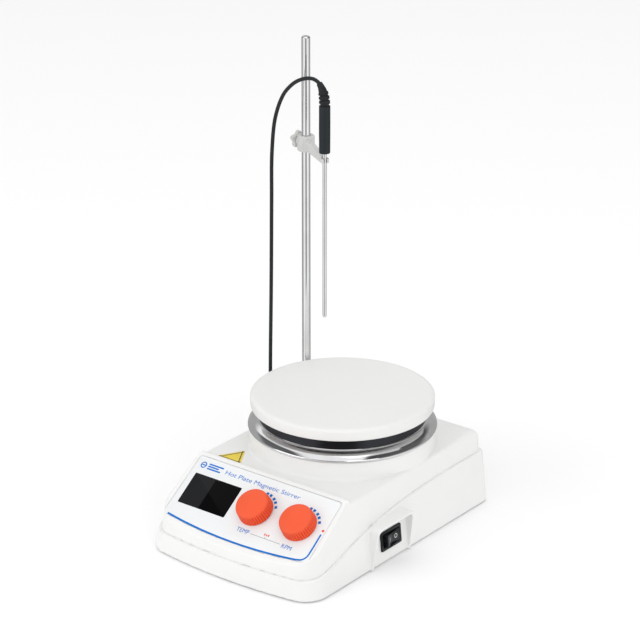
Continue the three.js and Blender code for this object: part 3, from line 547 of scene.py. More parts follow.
def surface_net(field, low, high, step):
    """Points and quads on the surface of the field inside a box."""
    lines = [np.arange(low[i], high[i] + step, step) for i in range(3)]
    shape = tuple(len(line) for line in lines)
    values = np.empty(shape, np.float32)
    for i, x in enumerate(lines[0]):
        y, z = np.meshgrid(lines[1], lines[2], indexing="ij")
        values[i] = field(np.full_like(y, x), y, z)
    inside = values < 0
    count = np.zeros(tuple(n - 1 for n in shape), np.uint8)
    for dx, dy, dz in np.ndindex(2, 2, 2):
        count += inside[dx:shape[0] - 1 + dx, dy:shape[1] - 1 + dy, dz:shape[2] - 1 + dz]
    cells = np.argwhere((count > 0) & (count < 8))
    number = np.full(count.shape, -1, np.int64)
    number[tuple(cells.T)] = np.arange(len(cells))
    total, hits = np.zeros((len(cells), 3)), np.zeros(len(cells))
    for axis in range(3):
        along = np.eye(3, dtype=int)[axis]
        for b, c in np.ndindex(2, 2):
            start = np.insert([b, c], axis, 0)
            first = values[tuple((cells + start).T)]
            second = values[tuple((cells + start + along).T)]
            crossing = (first < 0) != (second < 0)
            gap = np.where(crossing, first - second, 1)
            place = start + (first / gap)[:, None] * along
            total += np.where(crossing[:, None], place, 0)
            hits += crossing
    points = np.array(low) + (cells + total / hits[:, None]) * step
    quads = []
    for axis in range(3):
        one, two = [k for k in range(3) if k != axis]
        first = np.take(inside, range(shape[axis] - 1), axis)
        second = np.take(inside, range(1, shape[axis]), axis)
        spots = np.argwhere(first != second)
        spots = spots[(spots[:, one] > 0) & (spots[:, two] > 0)]
        spots = spots[(spots[:, one] < shape[one] - 1) & (spots[:, two] < shape[two] - 1)]
        corners = []
        for a, b in ((1, 1), (0, 1), (0, 0), (1, 0)):
            cell = spots.copy()
            cell[:, one] -= a
            cell[:, two] -= b
            corners.append(number[tuple(cell.T)])
        quad = np.stack(corners, 1)
        outward = first[tuple(spots.T)] == (axis != 1)
        quad[~outward] = quad[~outward][:, ::-1]
        quads.append(quad)
    return points, np.concatenate(quads)


def implicit(name, field, low, high, step, keep, matrix=None):
    """Mesh of a field's surface, thinned to a share of its faces and lit by the field's own normals."""
    points, quads = surface_net(field, low, high, step)
    points = settle(field, points)
    full = bpy.data.meshes.new(name)
    full.vertices.add(len(points))
    full.vertices.foreach_set("co", points.astype(np.float32).ravel())
    full.loops.add(quads.size)
    full.loops.foreach_set("vertex_index", quads.astype(np.int32).ravel())
    full.polygons.add(len(quads))
    full.polygons.foreach_set("loop_start", np.arange(0, quads.size, 4, dtype=np.int32))
    full.update(calc_edges=True)
    holder = put(name, full)
    thin = holder.modifiers.new("thin", "DECIMATE")
    thin.ratio = keep
    evaluated = holder.evaluated_get(bpy.context.evaluated_depsgraph_get())
    mesh = bpy.data.meshes.new_from_object(evaluated)
    bpy.data.objects.remove(holder)
    bpy.data.meshes.remove(full)
    work = bmesh.new()
    work.from_mesh(mesh)
    bmesh.ops.dissolve_degenerate(work, edges=work.edges, dist=1e-3)
    bmesh.ops.triangulate(work, faces=work.faces)
    work.to_mesh(mesh)
    work.free()
    light_from(field, mesh)
    if matrix is not None:
        mesh.transform(matrix)
    mesh.transform(Matrix.Scale(MM, 4))
    return mesh


def light_from(field, mesh, lean=0.12):
    """Puts the points on the field and gives each corner the field's normal just inside its own face."""
    points = np.empty(len(mesh.vertices) * 3, np.float32)
    mesh.vertices.foreach_get("co", points)
    points = settle(field, points.reshape(-1, 3).astype(float), 1)
    mesh.vertices.foreach_set("co", points.astype(np.float32).ravel())
    corner = np.empty(len(mesh.loops), np.int32)
    mesh.loops.foreach_get("vertex_index", corner)
    triangles = corner.reshape(-1, 3)
    middle = points[triangles].mean(1)
    toward = np.repeat(middle, 3, axis=0) - points[corner]
    size = np.maximum(np.linalg.norm(toward, axis=1, keepdims=True), 1e-9)
    probe = points[corner] + toward / size * np.minimum(lean, 0.5 * size)
    normals = gradient(field, settle(field, probe, 1))
    normals /= np.maximum(np.linalg.norm(normals, axis=1, keepdims=True), 1e-9)
    mesh.shade_smooth()
    mesh.normals_split_custom_set([tuple(n) for n in normals])
    mesh.update()


# Housing

SIN, COS = math.sin(SLOPE), math.cos(SLOPE)


def bezier_table(points, steps=80):
    """First and second coordinates along a Bezier curve, in rising order of the first."""
    made = []
    degree = len(points) - 1
    for i in range(steps + 1):
        t = i / steps
        weights = [math.comb(degree, k) * (1 - t) ** (degree - k) * t ** k for k in range(degree + 1)]
        made.append([sum(w * p[axis] for w, p in zip(weights, points)) for axis in (0, 1)])
    return np.array(sorted(made)).T


SPLIT_CURVE = bezier_table([(70, 41), (-40, 40.5), (-62, 20), (-100, 15.5)])
ROLL_CURVE = bezier_table([(97.5, 57), (104.8, 57), (107.4, 54.4)])


def split_height(y):
    return np.interp(y, *SPLIT_CURVE)


def crown_and_sides(x, y, inset):
    crown = np.hypot(x, y - CROWN_Y) - (CROWN_R - inset)
    return meet(crown, np.abs(x) - (HALF_WIDTH - inset), FRONT_CORNER_R)


def behind(y, z, inset):
    return y - (REAR_Y - inset - REAR_DRAFT * z)


def plan(x, y, z, inset):
    """Distance outside the housing's plan at height z, moved inwards by inset."""
    return meet(crown_and_sides(x, y, inset + DRAFT * z), behind(y, z, inset), REAR_CORNER_R)


def panel_local(y, z):
    """Distance up the slope and out of it."""
    along = COS * (y - PANEL_Y) + SIN * (z - PANEL_Z)
    out = -SIN * (y - PANEL_Y) + COS * (z - PANEL_Z)
    return along, out


def under_top(y, z, sink, panel_sink):
    out = panel_local(y, z)[1] + panel_sink
    deck = z - np.interp(y, *ROLL_CURVE) + sink
    if sink:
        return np.maximum(out, deck)
    ridge = meet(meet(out, z - CREST_Z, 1.7), y - CREST_BACK_Y, 1.2)
    return blend_in(ridge, np.maximum(out, deck), 0.8)


def overlay_area(x, along, margin):
    """Distance outside the membrane's outline on the panel, grown by margin."""
    side = np.abs(x) - (OVERLAY_LOW_HALF - OVERLAY_TAPER * along + margin)
    bow = np.hypot(x, along - (OVERLAY_BOW_LOW + OVERLAY_BOW_R)) - (OVERLAY_BOW_R + margin)
    return meet(meet(bow, side, 5.0), along - (OVERLAY_TOP + margin), 3.0)


def upper_field(x, y, z):
    edge = TOP_EDGE_R + (REAR_CORNER_R - TOP_EDGE_R) * smooth(y, 50, 100)
    rear_and_top = meet(behind(y, z, LEDGE_STEP), under_top(y, z, 0, 0), 2.5)
    outer = meet(crown_and_sides(x, y, LEDGE_STEP + DRAFT * z), rear_and_top, edge)
    from_axis = np.hypot(x, y - PLATE_Y)
    drum = meet(np.maximum(from_axis - DRUM_R, 50 - z), z - DRUM_TOP, 1.2)
    outer = blend_in(outer, drum, 0.8 + 3.0 * (1 - smooth(np.abs(x), 48, 63)))
    from_rod = np.hypot(x - ROD_X, y - ROD_Y)
    boss = meet(np.maximum(from_rod - ROD_BOSS_R, 40 - z), z - ROD_BOSS_TOP, 0.8)
    outer = blend_in(outer, boss, 0.8)
    hollow = meet(plan(x, y, z, LEDGE_STEP + UPPER_WALL), under_top(y, z, UPPER_WALL, PANEL_WALL), 4.0)
    drum_hollow = all_of(from_axis - DRUM_R + UPPER_WALL, z - DRUM_TOP + UPPER_WALL, 30 - z)
    along, out = panel_local(y, z)
    recess = all_of(overlay_area(x, along, 0.3), -1.1 - out, y - CREST_Y)
    half_w, half_h = WINDOW_HALF
    window = all_of(np.abs(x - DISPLAY_X) - half_w, np.abs(along - DISPLAY_Y) - half_h, np.abs(out) - 9)
    body = without(remove(outer, recess, 0.6), hollow, drum_hollow, window)
    for knob_x in KNOB_X:
        body = without(body, all_of(np.hypot(x - knob_x, along - KNOB_Y) - KNOB_HOLE_R, np.abs(out) - 9))
    body = remove(body, np.maximum(from_axis - DRUM_HOLE_R, 60 - z), 0.5)
    body = remove(body, from_rod - ROD_R - 0.3, 0.4)
    return np.maximum(body, split_height(y) - SPLIT_LAP - z)


def box_field(u, v, w, low, high):
    return all_of(*(np.maximum(low[i] - c, c - high[i]) for i, c in enumerate((u, v, w))))


def hood_area(y, z, shrink):
    """Distance outside the switch hood's outline: straight foot, leaning sides, rounded top corners."""
    side = np.abs(y - HOOD_Y) - (HOOD_FOOT - shrink - HOOD_LEAN * z)
    return meet(side, z - (HOOD_TOP - shrink), 4.0)


def switch_local(x, y, z):
    lean = math.atan(DRAFT)
    dx, dz = x - (HALF_WIDTH - DRAFT * SWITCH_Z), z - SWITCH_Z
    return y - SWITCH_Y, -math.sin(lean) * dx + math.cos(lean) * dz, math.cos(lean) * dx + math.sin(lean) * dz


def lower_field(x, y, z):
    wall = meet(plan(x, y, z, 0), z - split_height(y), 0.9)
    hood = np.maximum(hood_area(y, z, 0), -hood_area(y, z, 2.0))
    hood = meet(hood, (x - HOOD_RIM_X - HOOD_RIM_SLOPE * (z - BASE_Z)) / HOOD_RIM_LENGTH, 0.7)
    outer = blend_in(wall, np.maximum(hood, 71 - x), 1.2)
    hollow = np.maximum(plan(x, y, z, LOWER_WALL), 4 - z)
    rear_pad = np.maximum(box_field(x, y, z, (-50, FIELD_Y - 3.2, 3), (50, 112, 40)), wall)
    shell = np.minimum(np.maximum(outer, -hollow), rear_pad)
    for sx, sy in SCREWS:
        from_screw = np.hypot(x - sx, y - sy)
        shell = np.minimum(shell, all_of(from_screw - BOSS_R, z - BOSS_TOP, 2 - z))
        shell = without(shell, from_screw - SCREW_HOLE_R, np.maximum(from_screw - SCREW_HEAD_R, z - 5))
    for fx, fy in FEET:
        shell = without(shell, np.maximum(np.hypot(x - fx, y - fy) - FOOT_POCKET_R, z - FOOT_POCKET_TOP))
    half_w, half_h = FIELD_HALF
    recess = meet(np.abs(x) - half_w, np.abs(z - CONNECTOR_Z) - half_h, 2.5)
    shell = remove(shell, np.maximum(recess, FIELD_Y - y), 0.7)
    half_w, half_h = SWITCH_HALF
    shell = without(shell, box_field(*switch_local(x, y, z), (-half_w, -half_h, -9), (half_w, half_h, 2)))
    half_w, half_h = INLET_HALF
    inlet = box_field(x - INLET_X, y, z - CONNECTOR_Z, (-half_w, 95, -half_h), (half_w, 112, half_h))
    socket = np.maximum(np.hypot(x - SOCKET_X, z - CONNECTOR_Z) - SOCKET_R, np.abs(y - 105) - 8)
    return meet(without(shell, inlet, socket), BASE_Z - z, 0.5)


def make_housing():
    upper = implicit("upper_shell", upper_field, (-75, -111, 14), (75, 111, 73), 0.9, 0.14)
    add("upper_shell", upper, "white_plastic", "base", replaces=["upper_housing"])
    lower = implicit("lower_shell", lower_field, (-77, -113, 0.2), (83.3, 112.6, 43), 0.9, 0.14)
    add("lower_shell", lower, "white_plastic", "base", replaces=["lower_housing"])


make_housing()


# Control panel

def make_overlay():
    """The membrane on the panel and its window."""
    half_low, half_top, top = OVERLAY_LOW_HALF, OVERLAY_TOP_HALF, OVERLAY_TOP
    bow = [(60.4 * k / 8, 1 - 4.3 * (1 - (k / 8) ** 2)) for k in range(-8, 9)]
    outline = [*bow, (half_low, 1.2, 4.5), (half_top, top, 3.0), (-half_top, top, 3.0), (-half_low, 1.2, 4.5)]
    outline = [(*p[:2], p[2] if len(p) > 2 else 0.4) for p in outline]
    film = slab("panel_film", rounded(outline, 0.4, 5, closed=True), -0.8, -0.25, panel_frame(), 0.2)
    add("panel_film", film, "overlay_film", "base", replaces=["panel_overlay"])
    half_w, half_h = DISPLAY_W / 2, DISPLAY_H / 2
    area = rectangle(DISPLAY_X - half_w, DISPLAY_Y - half_h, DISPLAY_X + half_w, DISPLAY_Y + half_h, 0.9)
    window = slab("display_glass", area, -0.7, -0.12, panel_frame(), 0.15)
    add("display_glass", window, "black_gloss", "base", replaces=["display_window"])


def ribbon(points, width):
    """Outline of a line of that width along points, with round ends."""
    half = width / 2
    ways = []
    for i in range(len(points)):
        before, after = points[max(i - 1, 0)], points[min(i + 1, len(points) - 1)]
        ways.append((Vector(after) - Vector(before)).normalized())
    left = [(p[0] - w.y * half, p[1] + w.x * half) for p, w in zip(points, ways)]
    right = [(p[0] + w.y * half, p[1] - w.x * half) for p, w in zip(points, ways)]

    def cap(point, way):
        start = math.atan2(way.y, way.x) - math.pi / 2
        angles = [start + math.pi * k / 6 for k in range(1, 6)]
        return [(point[0] + half * math.cos(a), point[1] + half * math.sin(a)) for a in angles]

    return [*right, *cap(points[-1], ways[-1]), *reversed(left), *cap(points[0], -ways[0])]


def print_on_panel(name, outlines, look, more=()):
    meshes = [slab(name, outline, PRINT_LOW, PRINT_HIGH, panel_frame()) for outline in outlines]
    add(name, joined(name, [*meshes, *more]), look, "base")


CAPITAL_SHARE = 0.72  # height of a capital as a share of the font's size


def lettering(name, words, x0, x1, y):
    """Plain words on the panel between x0 and x1, standing on y."""
    data = bpy.data.curves.new(name, "FONT")
    data.body, data.size, data.extrude = words, LETTER_HEIGHT / CAPITAL_SHARE, (PRINT_HIGH - PRINT_LOW) / 2
    data.resolution_u = 3
    holder = put(name + "_words", data)
    bpy.context.view_layer.update()
    mesh = bpy.data.meshes.new_from_object(holder.evaluated_get(bpy.context.evaluated_depsgraph_get()))
    bpy.data.objects.remove(holder)
    xs = [v.co.x for v in mesh.vertices]
    fit = (x1 - x0) / (max(xs) - min(xs))
    mesh.transform(Matrix.Diagonal((fit, 1, 1, 1)))
    mesh.transform(Matrix.Translation((x0 - min(xs) * fit, y, (PRINT_LOW + PRINT_HIGH) / 2)))
    mesh.transform(Matrix.Scale(MM, 4) @ panel_frame())
    add(name, mesh, "blue_ink", "base")


def arc_points(cx, cy, r, a0, a1, steps):
    angles = [math.radians(a0 + (a1 - a0) * k / steps) for k in range(steps + 1)]
    return [(cx + r * math.cos(a), cy + r * math.sin(a)) for a in angles]


TICK_ANGLES, TICK_RADII, TICK_HALF = (28, 44, 57.5, 74, 87), (13.8, 15.9), 1.1
STRIPE_WIDTH, STRIPE_LOW, STRIPE_RISE = 1.35, -2.7, 3.9
LINE_Y, LINE_ENDS, LINE_WIDTH = 7.9, (10.9, 37.4), 0.35
MARK_X, MARK_Y, MARK_STEP = 21.5, 10.1, 1.7
WORDS = {
    "print_temp": ("TEMP", -1.6, 9.4, 6.6),
    "print_rpm": ("RPM", 39.3, 47.8, 5.7),
    "print_title": ("Hot Plate Magnetic Stirrer", -36.6, 31.3, 44.3),
}


def tick_at(knob_x, a):
    """Short block that points away from a knob's middle at angle a."""
    ends = [Vector((knob_x + r * math.cos(a), KNOB_Y + r * math.sin(a))) for r in TICK_RADII]
    side = Vector((-math.sin(a), math.cos(a))) * TICK_HALF
    return [tuple(corner) for corner in (ends[0] - side, ends[1] - side, ends[1] + side, ends[0] + side)]


def make_prints():
    bow = [(x, STRIPE_LOW + STRIPE_RISE * (x / 57.0) ** 2) for x in np.linspace(-60.8, 55.5, 30)]
    corner = arc_points(56.4, 7.9, 6.6, -64, -2, 8)
    stripe = [*bow, *corner, (63.05, 14), (62.9, 24.4)]
    print_on_panel("print_stripe", [ribbon(stripe, STRIPE_WIDTH)], "blue_ink")
    print_on_panel("print_dot", [arc_points(62.8, 27.9, 1.0, 0, 345, 23)], "red_ink")
    ticks = [tick_at(knob_x, math.radians(degrees)) for knob_x in KNOB_X for degrees in TICK_ANGLES]
    print_on_panel("print_ticks", ticks, "blue_ink")
    line = ribbon([(x, LINE_Y) for x in LINE_ENDS], LINE_WIDTH)
    tick = rectangle(23.2, LINE_Y, 23.6, 9.0, 0.1)
    print_on_panel("print_line", [line, tick], "grey_ink")
    marks = []
    for k, height in enumerate((1.6, 1.3, 1.6)):
        left = MARK_X + MARK_STEP * k
        marks.append(rectangle(left, MARK_Y, left + 1.0, MARK_Y + height, 0.2))
    print_on_panel("print_mark", marks, "red_ink")
    for name, values in WORDS.items():
        lettering(name, *values)
    make_emblem()


def make_emblem():
    """A plain emblem: three rounded bars of a stir bar above a round vessel outline."""
    y = 46.0
    outline = arc_points(-57.4, y, 2.6, 0, 360, 32)[:-1]
    ring = band("print_emblem", outline, (0, 0.85), PRINT_LOW, PRINT_HIGH, panel_frame())
    bars = [ribbon([(-58.6, y), (-56.2, y)], 0.9)]
    bars += [ribbon([(x0, y + dy), (x1, y + dy)], 1.15) for x0, x1, dy in (
        (-52.8, -40.4, 1.9), (-52.8, -44.0, 0.0), (-52.8, -41.6, -1.9))]
    print_on_panel("print_emblem", bars, "blue_ink", [ring])


make_overlay()
make_prints()


RIBS, PER_RIB = 42, 10
# How far inside KNOB_R each ring lies, its height and how deep the grooves between the ribs are there
KNOB_RINGS = [
    (1.6, 7.6, 0.0), (1.5, 0.35, 0.0), (-0.05, 0.35, 0.0), (-0.1, 0.5, 1.0), (0.05, 3.0, 1.0),
    (0.3, 6.0, 1.0), (0.42, 7.3, 0.9), (0.6, 8.1, 0.55), (0.95, 8.75, 0.22), (1.5, 9.25, 0.05),
    (2.3, 9.6, 0.0), (3.6, 9.95, 0.0), (5.5, 10.3, 0.0), (8.0, 10.58, 0.0), (10.5, 10.74, 0.0),
    (12.4, 10.8, 0.0),
]


def make_knob(name, shaft, x, body):
    """Domed cap over a skirt of rounded ribs."""
    rings = []
    for inset, z, depth in KNOB_RINGS:
        ring = []
        for a in angles_of(RIBS * PER_RIB):
            groove = 0.5 - 0.5 * math.cos(RIBS * a)
            radius = KNOB_R - inset - depth * groove ** 1.6
            ring.append((x + radius * math.cos(a), KNOB_Y + radius * math.sin(a), z))
        rings.append(ring)
    mesh = loft(name, rings, panel_frame(), 50)
    add(name, mesh, "orange_plastic", body, replaces=[shaft])


make_knob("temp_cap", "knob_temp", KNOB_X[0], "temp_knob")
make_knob("speed_cap", "knob_speed", KNOB_X[1], "speed_knob")


# Heated plate and skirt

def make_plate():
    top, bottom = PLATE_TOP, PLATE_BOTTOM
    profile = [(0, bottom + 0.3), (60, bottom + 0.3), (61, bottom), (DRUM_R - 0.35, bottom, 1.6),
               (DRUM_R, top - 0.9, 1.8), (DRUM_R - 2.6, top, 1.2), (0, top)]
    mesh = lathe("ceramic_plate", rounded(profile, 0.4, 6), 0, PLATE_Y, 192)
    add("ceramic_plate", mesh, "plate_coating", "base", replaces=["hot_plate"])


def make_skirt():
    """Spun pan: rolled lip, wide polished cone, and a neck coloured near black, a painted dark reflection."""
    profile = [(14, 76.8), (58.5, 76.8), (67.2, 72.75, 0.5), (68.6, 71.65, 0.9), (69.35, 72.1, 0.5),
               (69.1, 73.2, 0.5), (66.3, 75.9, 2.4), (61.9, 77.6, 0.9), (61.0, 78.6, 0.5), (61.0, NECK_TOP),
               (60.2, NECK_TOP), (60.2, 77.6), (14, 77.6)]
    mesh = lathe("spun_skirt", rounded(profile, 0.2, 5, closed=True), 0, PLATE_Y, 192, closed=True, sharp=60)
    made = add("spun_skirt", mesh, "polished_steel", "base", replaces=["plate_skirt"], extra=["neck_steel_painted_dark"])
    # faces of the neck get the near-black steel, a painted dark reflection
    neck = (60.7 * MM, 78.4 * MM)
    for face in made.data.polygons:
        centre = face.center
        away = math.hypot(centre.x, centre.y - PLATE_Y * MM)
        if away > neck[0] and centre.z > neck[1]:
            face.material_index = 1


make_plate()
make_skirt()


# Switch and rear connectors

def make_switch():
    """Case and bezel: from the case's bottom up its wall, out and over the bezel, down into the opening."""
    case, bezel_out, bezel_in = (rectangle(-u, -v, u, v, r, 6) for u, v, r in (
        (10.6, 6.1, 0.5), (11.7, 7.3, 1.2), (9.7, 5.1, 0.5)))
    top_out, top_in = inset_outline(bezel_out, 0.25), inset_outline(bezel_in, -0.25)
    levels = [(case, -12), (case, 0.3), (bezel_out, 0.3), (bezel_out, 1.2), (top_out, 1.5), (top_in, 1.5),
              (bezel_in, 1.25), (bezel_in, -6)]
    rings = [[(u, v, z) for u, v in outline] for outline, z in levels]
    mesh = loft("switch_case", rings, switch_frame(), 40)
    add("switch_case", mesh, "switch_plastic", "base", replaces=["switch_body"])


ROCKER_HALF_LENGTH, ROCKER_HALF_WIDTH = 8.5, 4.6
ROCKER_LOW, ROCKER_RISE, ROCKER_POWER = 1.85, 1.45, 1.35
MARK_PLACE, MARK_LOW, MARK_HIGH = 4.3, -0.05, 0.04


def rocker_height(u):
    return ROCKER_LOW + ROCKER_RISE * abs(u / ROCKER_HALF_LENGTH) ** ROCKER_POWER


def make_rocker():
    """Rocker with a hollowed face, its rear end pressed in, and a mark on each half."""
    pressed = switch_frame() @ Matrix.Rotation(math.radians(9), 4, "Y")
    face = [(u, rocker_height(u), 0.35) for u in np.linspace(-ROCKER_HALF_LENGTH, ROCKER_HALF_LENGTH, 25)]
    curve = rounded([(-7.4, -3.0, 0.4), *face, (7.4, -3.0, 0.4)], 0.35, 3, closed=True)
    edge = [(ROCKER_HALF_WIDTH, 0.35), (ROCKER_HALF_WIDTH - 0.1, 0.1), (ROCKER_HALF_WIDTH - 0.35, 0.0)]
    levels = [(-v, inset) for v, inset in edge] + edge[::-1]
    rings = [[(u, v, w) for u, w in inset_outline(curve, -inset)] for v, inset in levels]
    mesh = loft("rocker_cap", rings, pressed, 40)
    add("rocker_cap", mesh, "switch_plastic", "rocker", replaces=["switch_rocker"])
    share = MARK_PLACE / ROCKER_HALF_LENGTH
    lean = math.atan(ROCKER_RISE * ROCKER_POWER / ROCKER_HALF_LENGTH * share ** (ROCKER_POWER - 1))
    for name, way in (("mark_off", 1), ("mark_on", -1)):
        spot = Matrix.Translation((way * MARK_PLACE, 0, rocker_height(MARK_PLACE)))
        matrix = pressed @ spot @ Matrix.Rotation(-way * lean, 4, "Y")
        if name == "mark_off":
            ring = arc_points(0, 0, 1.65, 0, 360, 28)[:-1]
            mark = band(name, ring, (0, 0.42), MARK_LOW, MARK_HIGH, matrix)
        else:
            mark = slab(name, rectangle(-0.2, -1.6, 0.2, 1.6, 0.1), MARK_LOW, MARK_HIGH, matrix)
        add(name, mark, "white_ink", "rocker")


make_switch()
make_rocker()


def make_plug():
    """Round metal connector with a knurled ring and a slim rubber relief, on its axis towards the rear."""
    to_y = Matrix.Translation((SOCKET_X, 0, CONNECTOR_Z)) @ Matrix.Rotation(math.radians(-90), 4, "X")
    profile = [(0, 100), (4.3, 100), (4.3, 108.6), (6.1, 108.6), (6.4, 109)]
    for k in range(9):
        profile += [(6.4, 109.6 + 0.8 * k), (6.15, 110.0 + 0.8 * k)]
    profile += [(6.2, 117), (5.6, 117.4), (5.6, 122.6, 0.6), (5.0, 124), (3.2, 124)]
    shell = lathe("plug_shell", rounded([*profile, (3.2, 124.2), (0, 124.2)], 0.12, 2), 0, 0, 64, to_y)
    made = add("plug_shell", shell, "plug_metal", "base", replaces=["sensor_plug"])
    relief_profile = [(0, 124), (3.1, 124)]
    for k in range(5):
        y = 124.6 + 1.7 * k
        wide = 3.0 - 0.2 * k
        relief_profile += [(wide, y), (wide, y + 0.9), (wide - 0.5, y + 1.1), (wide - 0.5, y + 1.5)]
    relief_profile += [(1.9, 133.6, 0.3), (0, 134)]
    boot = lathe("plug_boot", rounded(relief_profile, 0.15, 2), 0, 0, 48, to_y)
    return made, add("plug_boot", boot, "black_rubber", "base")


PLUG = make_plug()


# Rod, clamp, probe

def make_rod():
    foot, top = 33, ROD_TOP
    profile = [(0, foot), (ROD_R, foot, 0.2), (ROD_R, top - 0.7, 0.4), (ROD_R - 0.8, top, 0.4), (0, top)]
    mesh = lathe("rod", rounded(profile, 0.2, 4), ROD_X, ROD_Y, 64)
    add("rod", mesh, "brushed_steel", "base", replaces=["support_rod"])


def turned_into(x, y, turn):
    """Row-frame clamp coordinates turned back by an angle about the rod."""
    return math.cos(turn) * x + math.sin(turn) * y, -math.sin(turn) * x + math.cos(turn) * y


HEAD_R, HEAD_HALF, CLIP_R, CLIP_TOP = 6.4, 6.0, 3.1, 3.6
ARM_HALF, ARM_END, ARM_REACH = 2.2, 45.2, 43.4
SCREW_BOSS_R, SCREW_BORE_R, LOBE_R, LOBE_Z = 4.2, 2.2, 3.4, 1.6
STAR_AT, STAR_R, STAR_WAVE, SHANK_R, COLLAR_R = 10.4, 5.75, 0.9, 1.9, 3.0


def clamp_field(x, y, z):
    """Moulded head, tapering arm and split clip, x along the arm, z 0 at the clamp's middle."""
    from_rod = np.hypot(x, y)
    head = meet(from_rod - HEAD_R, np.abs(z) - HEAD_HALF, 1.5)
    along = np.clip(x / ARM_REACH, 0, 1)
    arm_low, arm_high = -4.6 + 3.6 * along, 4.4 - 0.2 * along
    arm = meet(np.abs(y) - ARM_HALF, np.maximum(arm_low - z, z - arm_high), 0.7)
    arm = np.maximum(arm, np.maximum(-x, x - ARM_END))
    from_probe = np.hypot(x - ARM, y)
    clip = meet(from_probe - CLIP_R, np.maximum(-z, z - CLIP_TOP), 0.8)
    u, v = turned_into(x, y, LOBE_TURN - CLAMP_TURN)
    lobe = meet(np.hypot(v, z - LOBE_Z) - LOBE_R, np.maximum(3.6 - u, u - 8.4), 1.2)
    body = blend_in(blend_in(blend_in(head, lobe, 0.8), arm, 1.0), clip, 0.8)
    u, v = turned_into(x, y, SCREW_TURN - CLAMP_TURN)
    from_screw = np.hypot(v, z)
    body = blend_in(body, meet(from_screw - SCREW_BOSS_R, np.maximum(3 - u, u - 7.6), 0.5), 0.6)
    body = remove(body, from_rod - ROD_R - 0.15, 0.4)
    body = remove(body, np.maximum(from_screw - SCREW_BORE_R, 2 - u), 0.3)
    slot = np.maximum(np.abs(y) - 1.2 - 0.7 * smooth(x, ARM + 1.8, ARM + 3.2), ARM - x)
    body = remove(body, slot, 0.4)
    return remove(body, from_probe - PROBE_R - 0.15, 0.3)


def screw_field(x, y, z):
    """Five-lobed knob with dished faces on a short screw along x."""
    away, angle = np.hypot(y, z), np.arctan2(y, z)
    star = away - (STAR_R + STAR_WAVE * np.cos(5 * angle))
    thick = 2.3 - 0.45 * smooth(away, 1.5, 5.5)
    knob = meet(star * 0.85, np.abs(x - STAR_AT) - thick, 0.8)
    collar = meet(away - COLLAR_R, np.maximum(8.1 - x, x - 12.7), 0.4)
    shank = np.maximum(away - SHANK_R, np.maximum(3.8 - x, x - 9))
    return np.minimum(blend_in(knob, collar, 0.6), shank)


def make_clamp():
    low, high = (-10, -10, -7.2), (52.5, 10, 7.2)
    mesh = implicit("clamp_moulding", clamp_field, low, high, 0.42, 0.5, clamp_frame(CLAMP_TURN))
    add("clamp_moulding", mesh, "grey_plastic", "clamp", replaces=["clamp_body"])
    low, high = (3, -7.5, -7.5), (14, 7.5, 7.5)
    mesh = implicit("star_screw", screw_field, low, high, 0.35, 0.5, clamp_frame(SCREW_TURN))
    add("star_screw", mesh, "grey_plastic", "hand_screw", replaces=["thumbscrew"])


BOOT_CURVE = [
    Vector((PROBE_X, PROBE_Y, HANDLE_TOP)),
    Vector((PROBE_X, PROBE_Y, 317)),
    Vector((-29.6, 38.1, 321.9)),
]


def boot_point(t):
    a, b, c = BOOT_CURVE
    return a * (1 - t) ** 2 + b * (2 * t * (1 - t)) + c * t * t


def boot_way(t):
    a, b, c = BOOT_CURVE
    return ((b - a) * (1 - t) + (c - b) * t).normalized()


def make_probe():
    tip = PROBE_TIP
    tube = [(0, tip), (0.75, tip + 0.12, 0.3), (PROBE_R, tip + 1.3, 0.5), (PROBE_R, 284.5), (0, 284.5)]
    add("probe_shaft", lathe("probe_shaft", rounded(tube, 0.2, 4), PROBE_X, PROBE_Y, 40),
        "brushed_steel", "probe", replaces=["probe_tube"])
    handle = [(0, HANDLE_BOTTOM), (HANDLE_R - 0.1, HANDLE_BOTTOM, 0.5), (HANDLE_R, 290, 2),
              (HANDLE_R - 0.05, HANDLE_TOP, 0.4), (0, HANDLE_TOP)]
    add("grip", lathe("grip", rounded(handle, 0.3, 5), PROBE_X, PROBE_Y, 64),
        "handle_plastic", "probe", replaces=["probe_handle"])
    make_boot()


def boot_radius(t):
    """Three thick ribs, then a smooth sleeve that tapers to the lead."""
    sleeve = 3.05 - 0.85 * smooth(t, 0.55, 1.0)
    rib = 0.0
    for middle, size in ((0.14, 3.95), (0.32, 3.85), (0.5, 3.65)):
        near = 1 - smooth(abs(t - middle), 0.05, 0.075)
        rib = max(rib, near * (size - sleeve))
    return sleeve + rib


def make_boot():
    rings = []
    for t in np.linspace(0, 1, 73).tolist():
        way = boot_way(t)
        rings.append(hoop(boot_point(t), way, way.cross(Vector((0, 1, 0))).normalized(), boot_radius(t), 40))
    mesh = loft("ribbed_boot", rings, sharp=40)
    add("ribbed_boot", mesh, "black_rubber", "probe", replaces=["probe_boot"])


make_rod()
make_clamp()
make_probe()


# Caution label, a plain triangle with a dark inset line

def make_label():
    area = rounded([(-56.4, -49), (-34, -49), (-45.2, -29.6)], 1.6, 6, closed=True)
    film = slab("label_film", area, DECK_Z, DECK_Z + 0.22, None, 0.05)
    add("label_film", film, "yellow_label", "base", replaces=["caution_label"])
    line = band("label_line", area, (1.3, 2.1), DECK_Z + 0.2, DECK_Z + 0.26)
    add("label_line", line, "dark_ink", "base")


make_label()


# Sensor lead: one tube along the whole route, over the rod, down, round to its coil and up to the plug

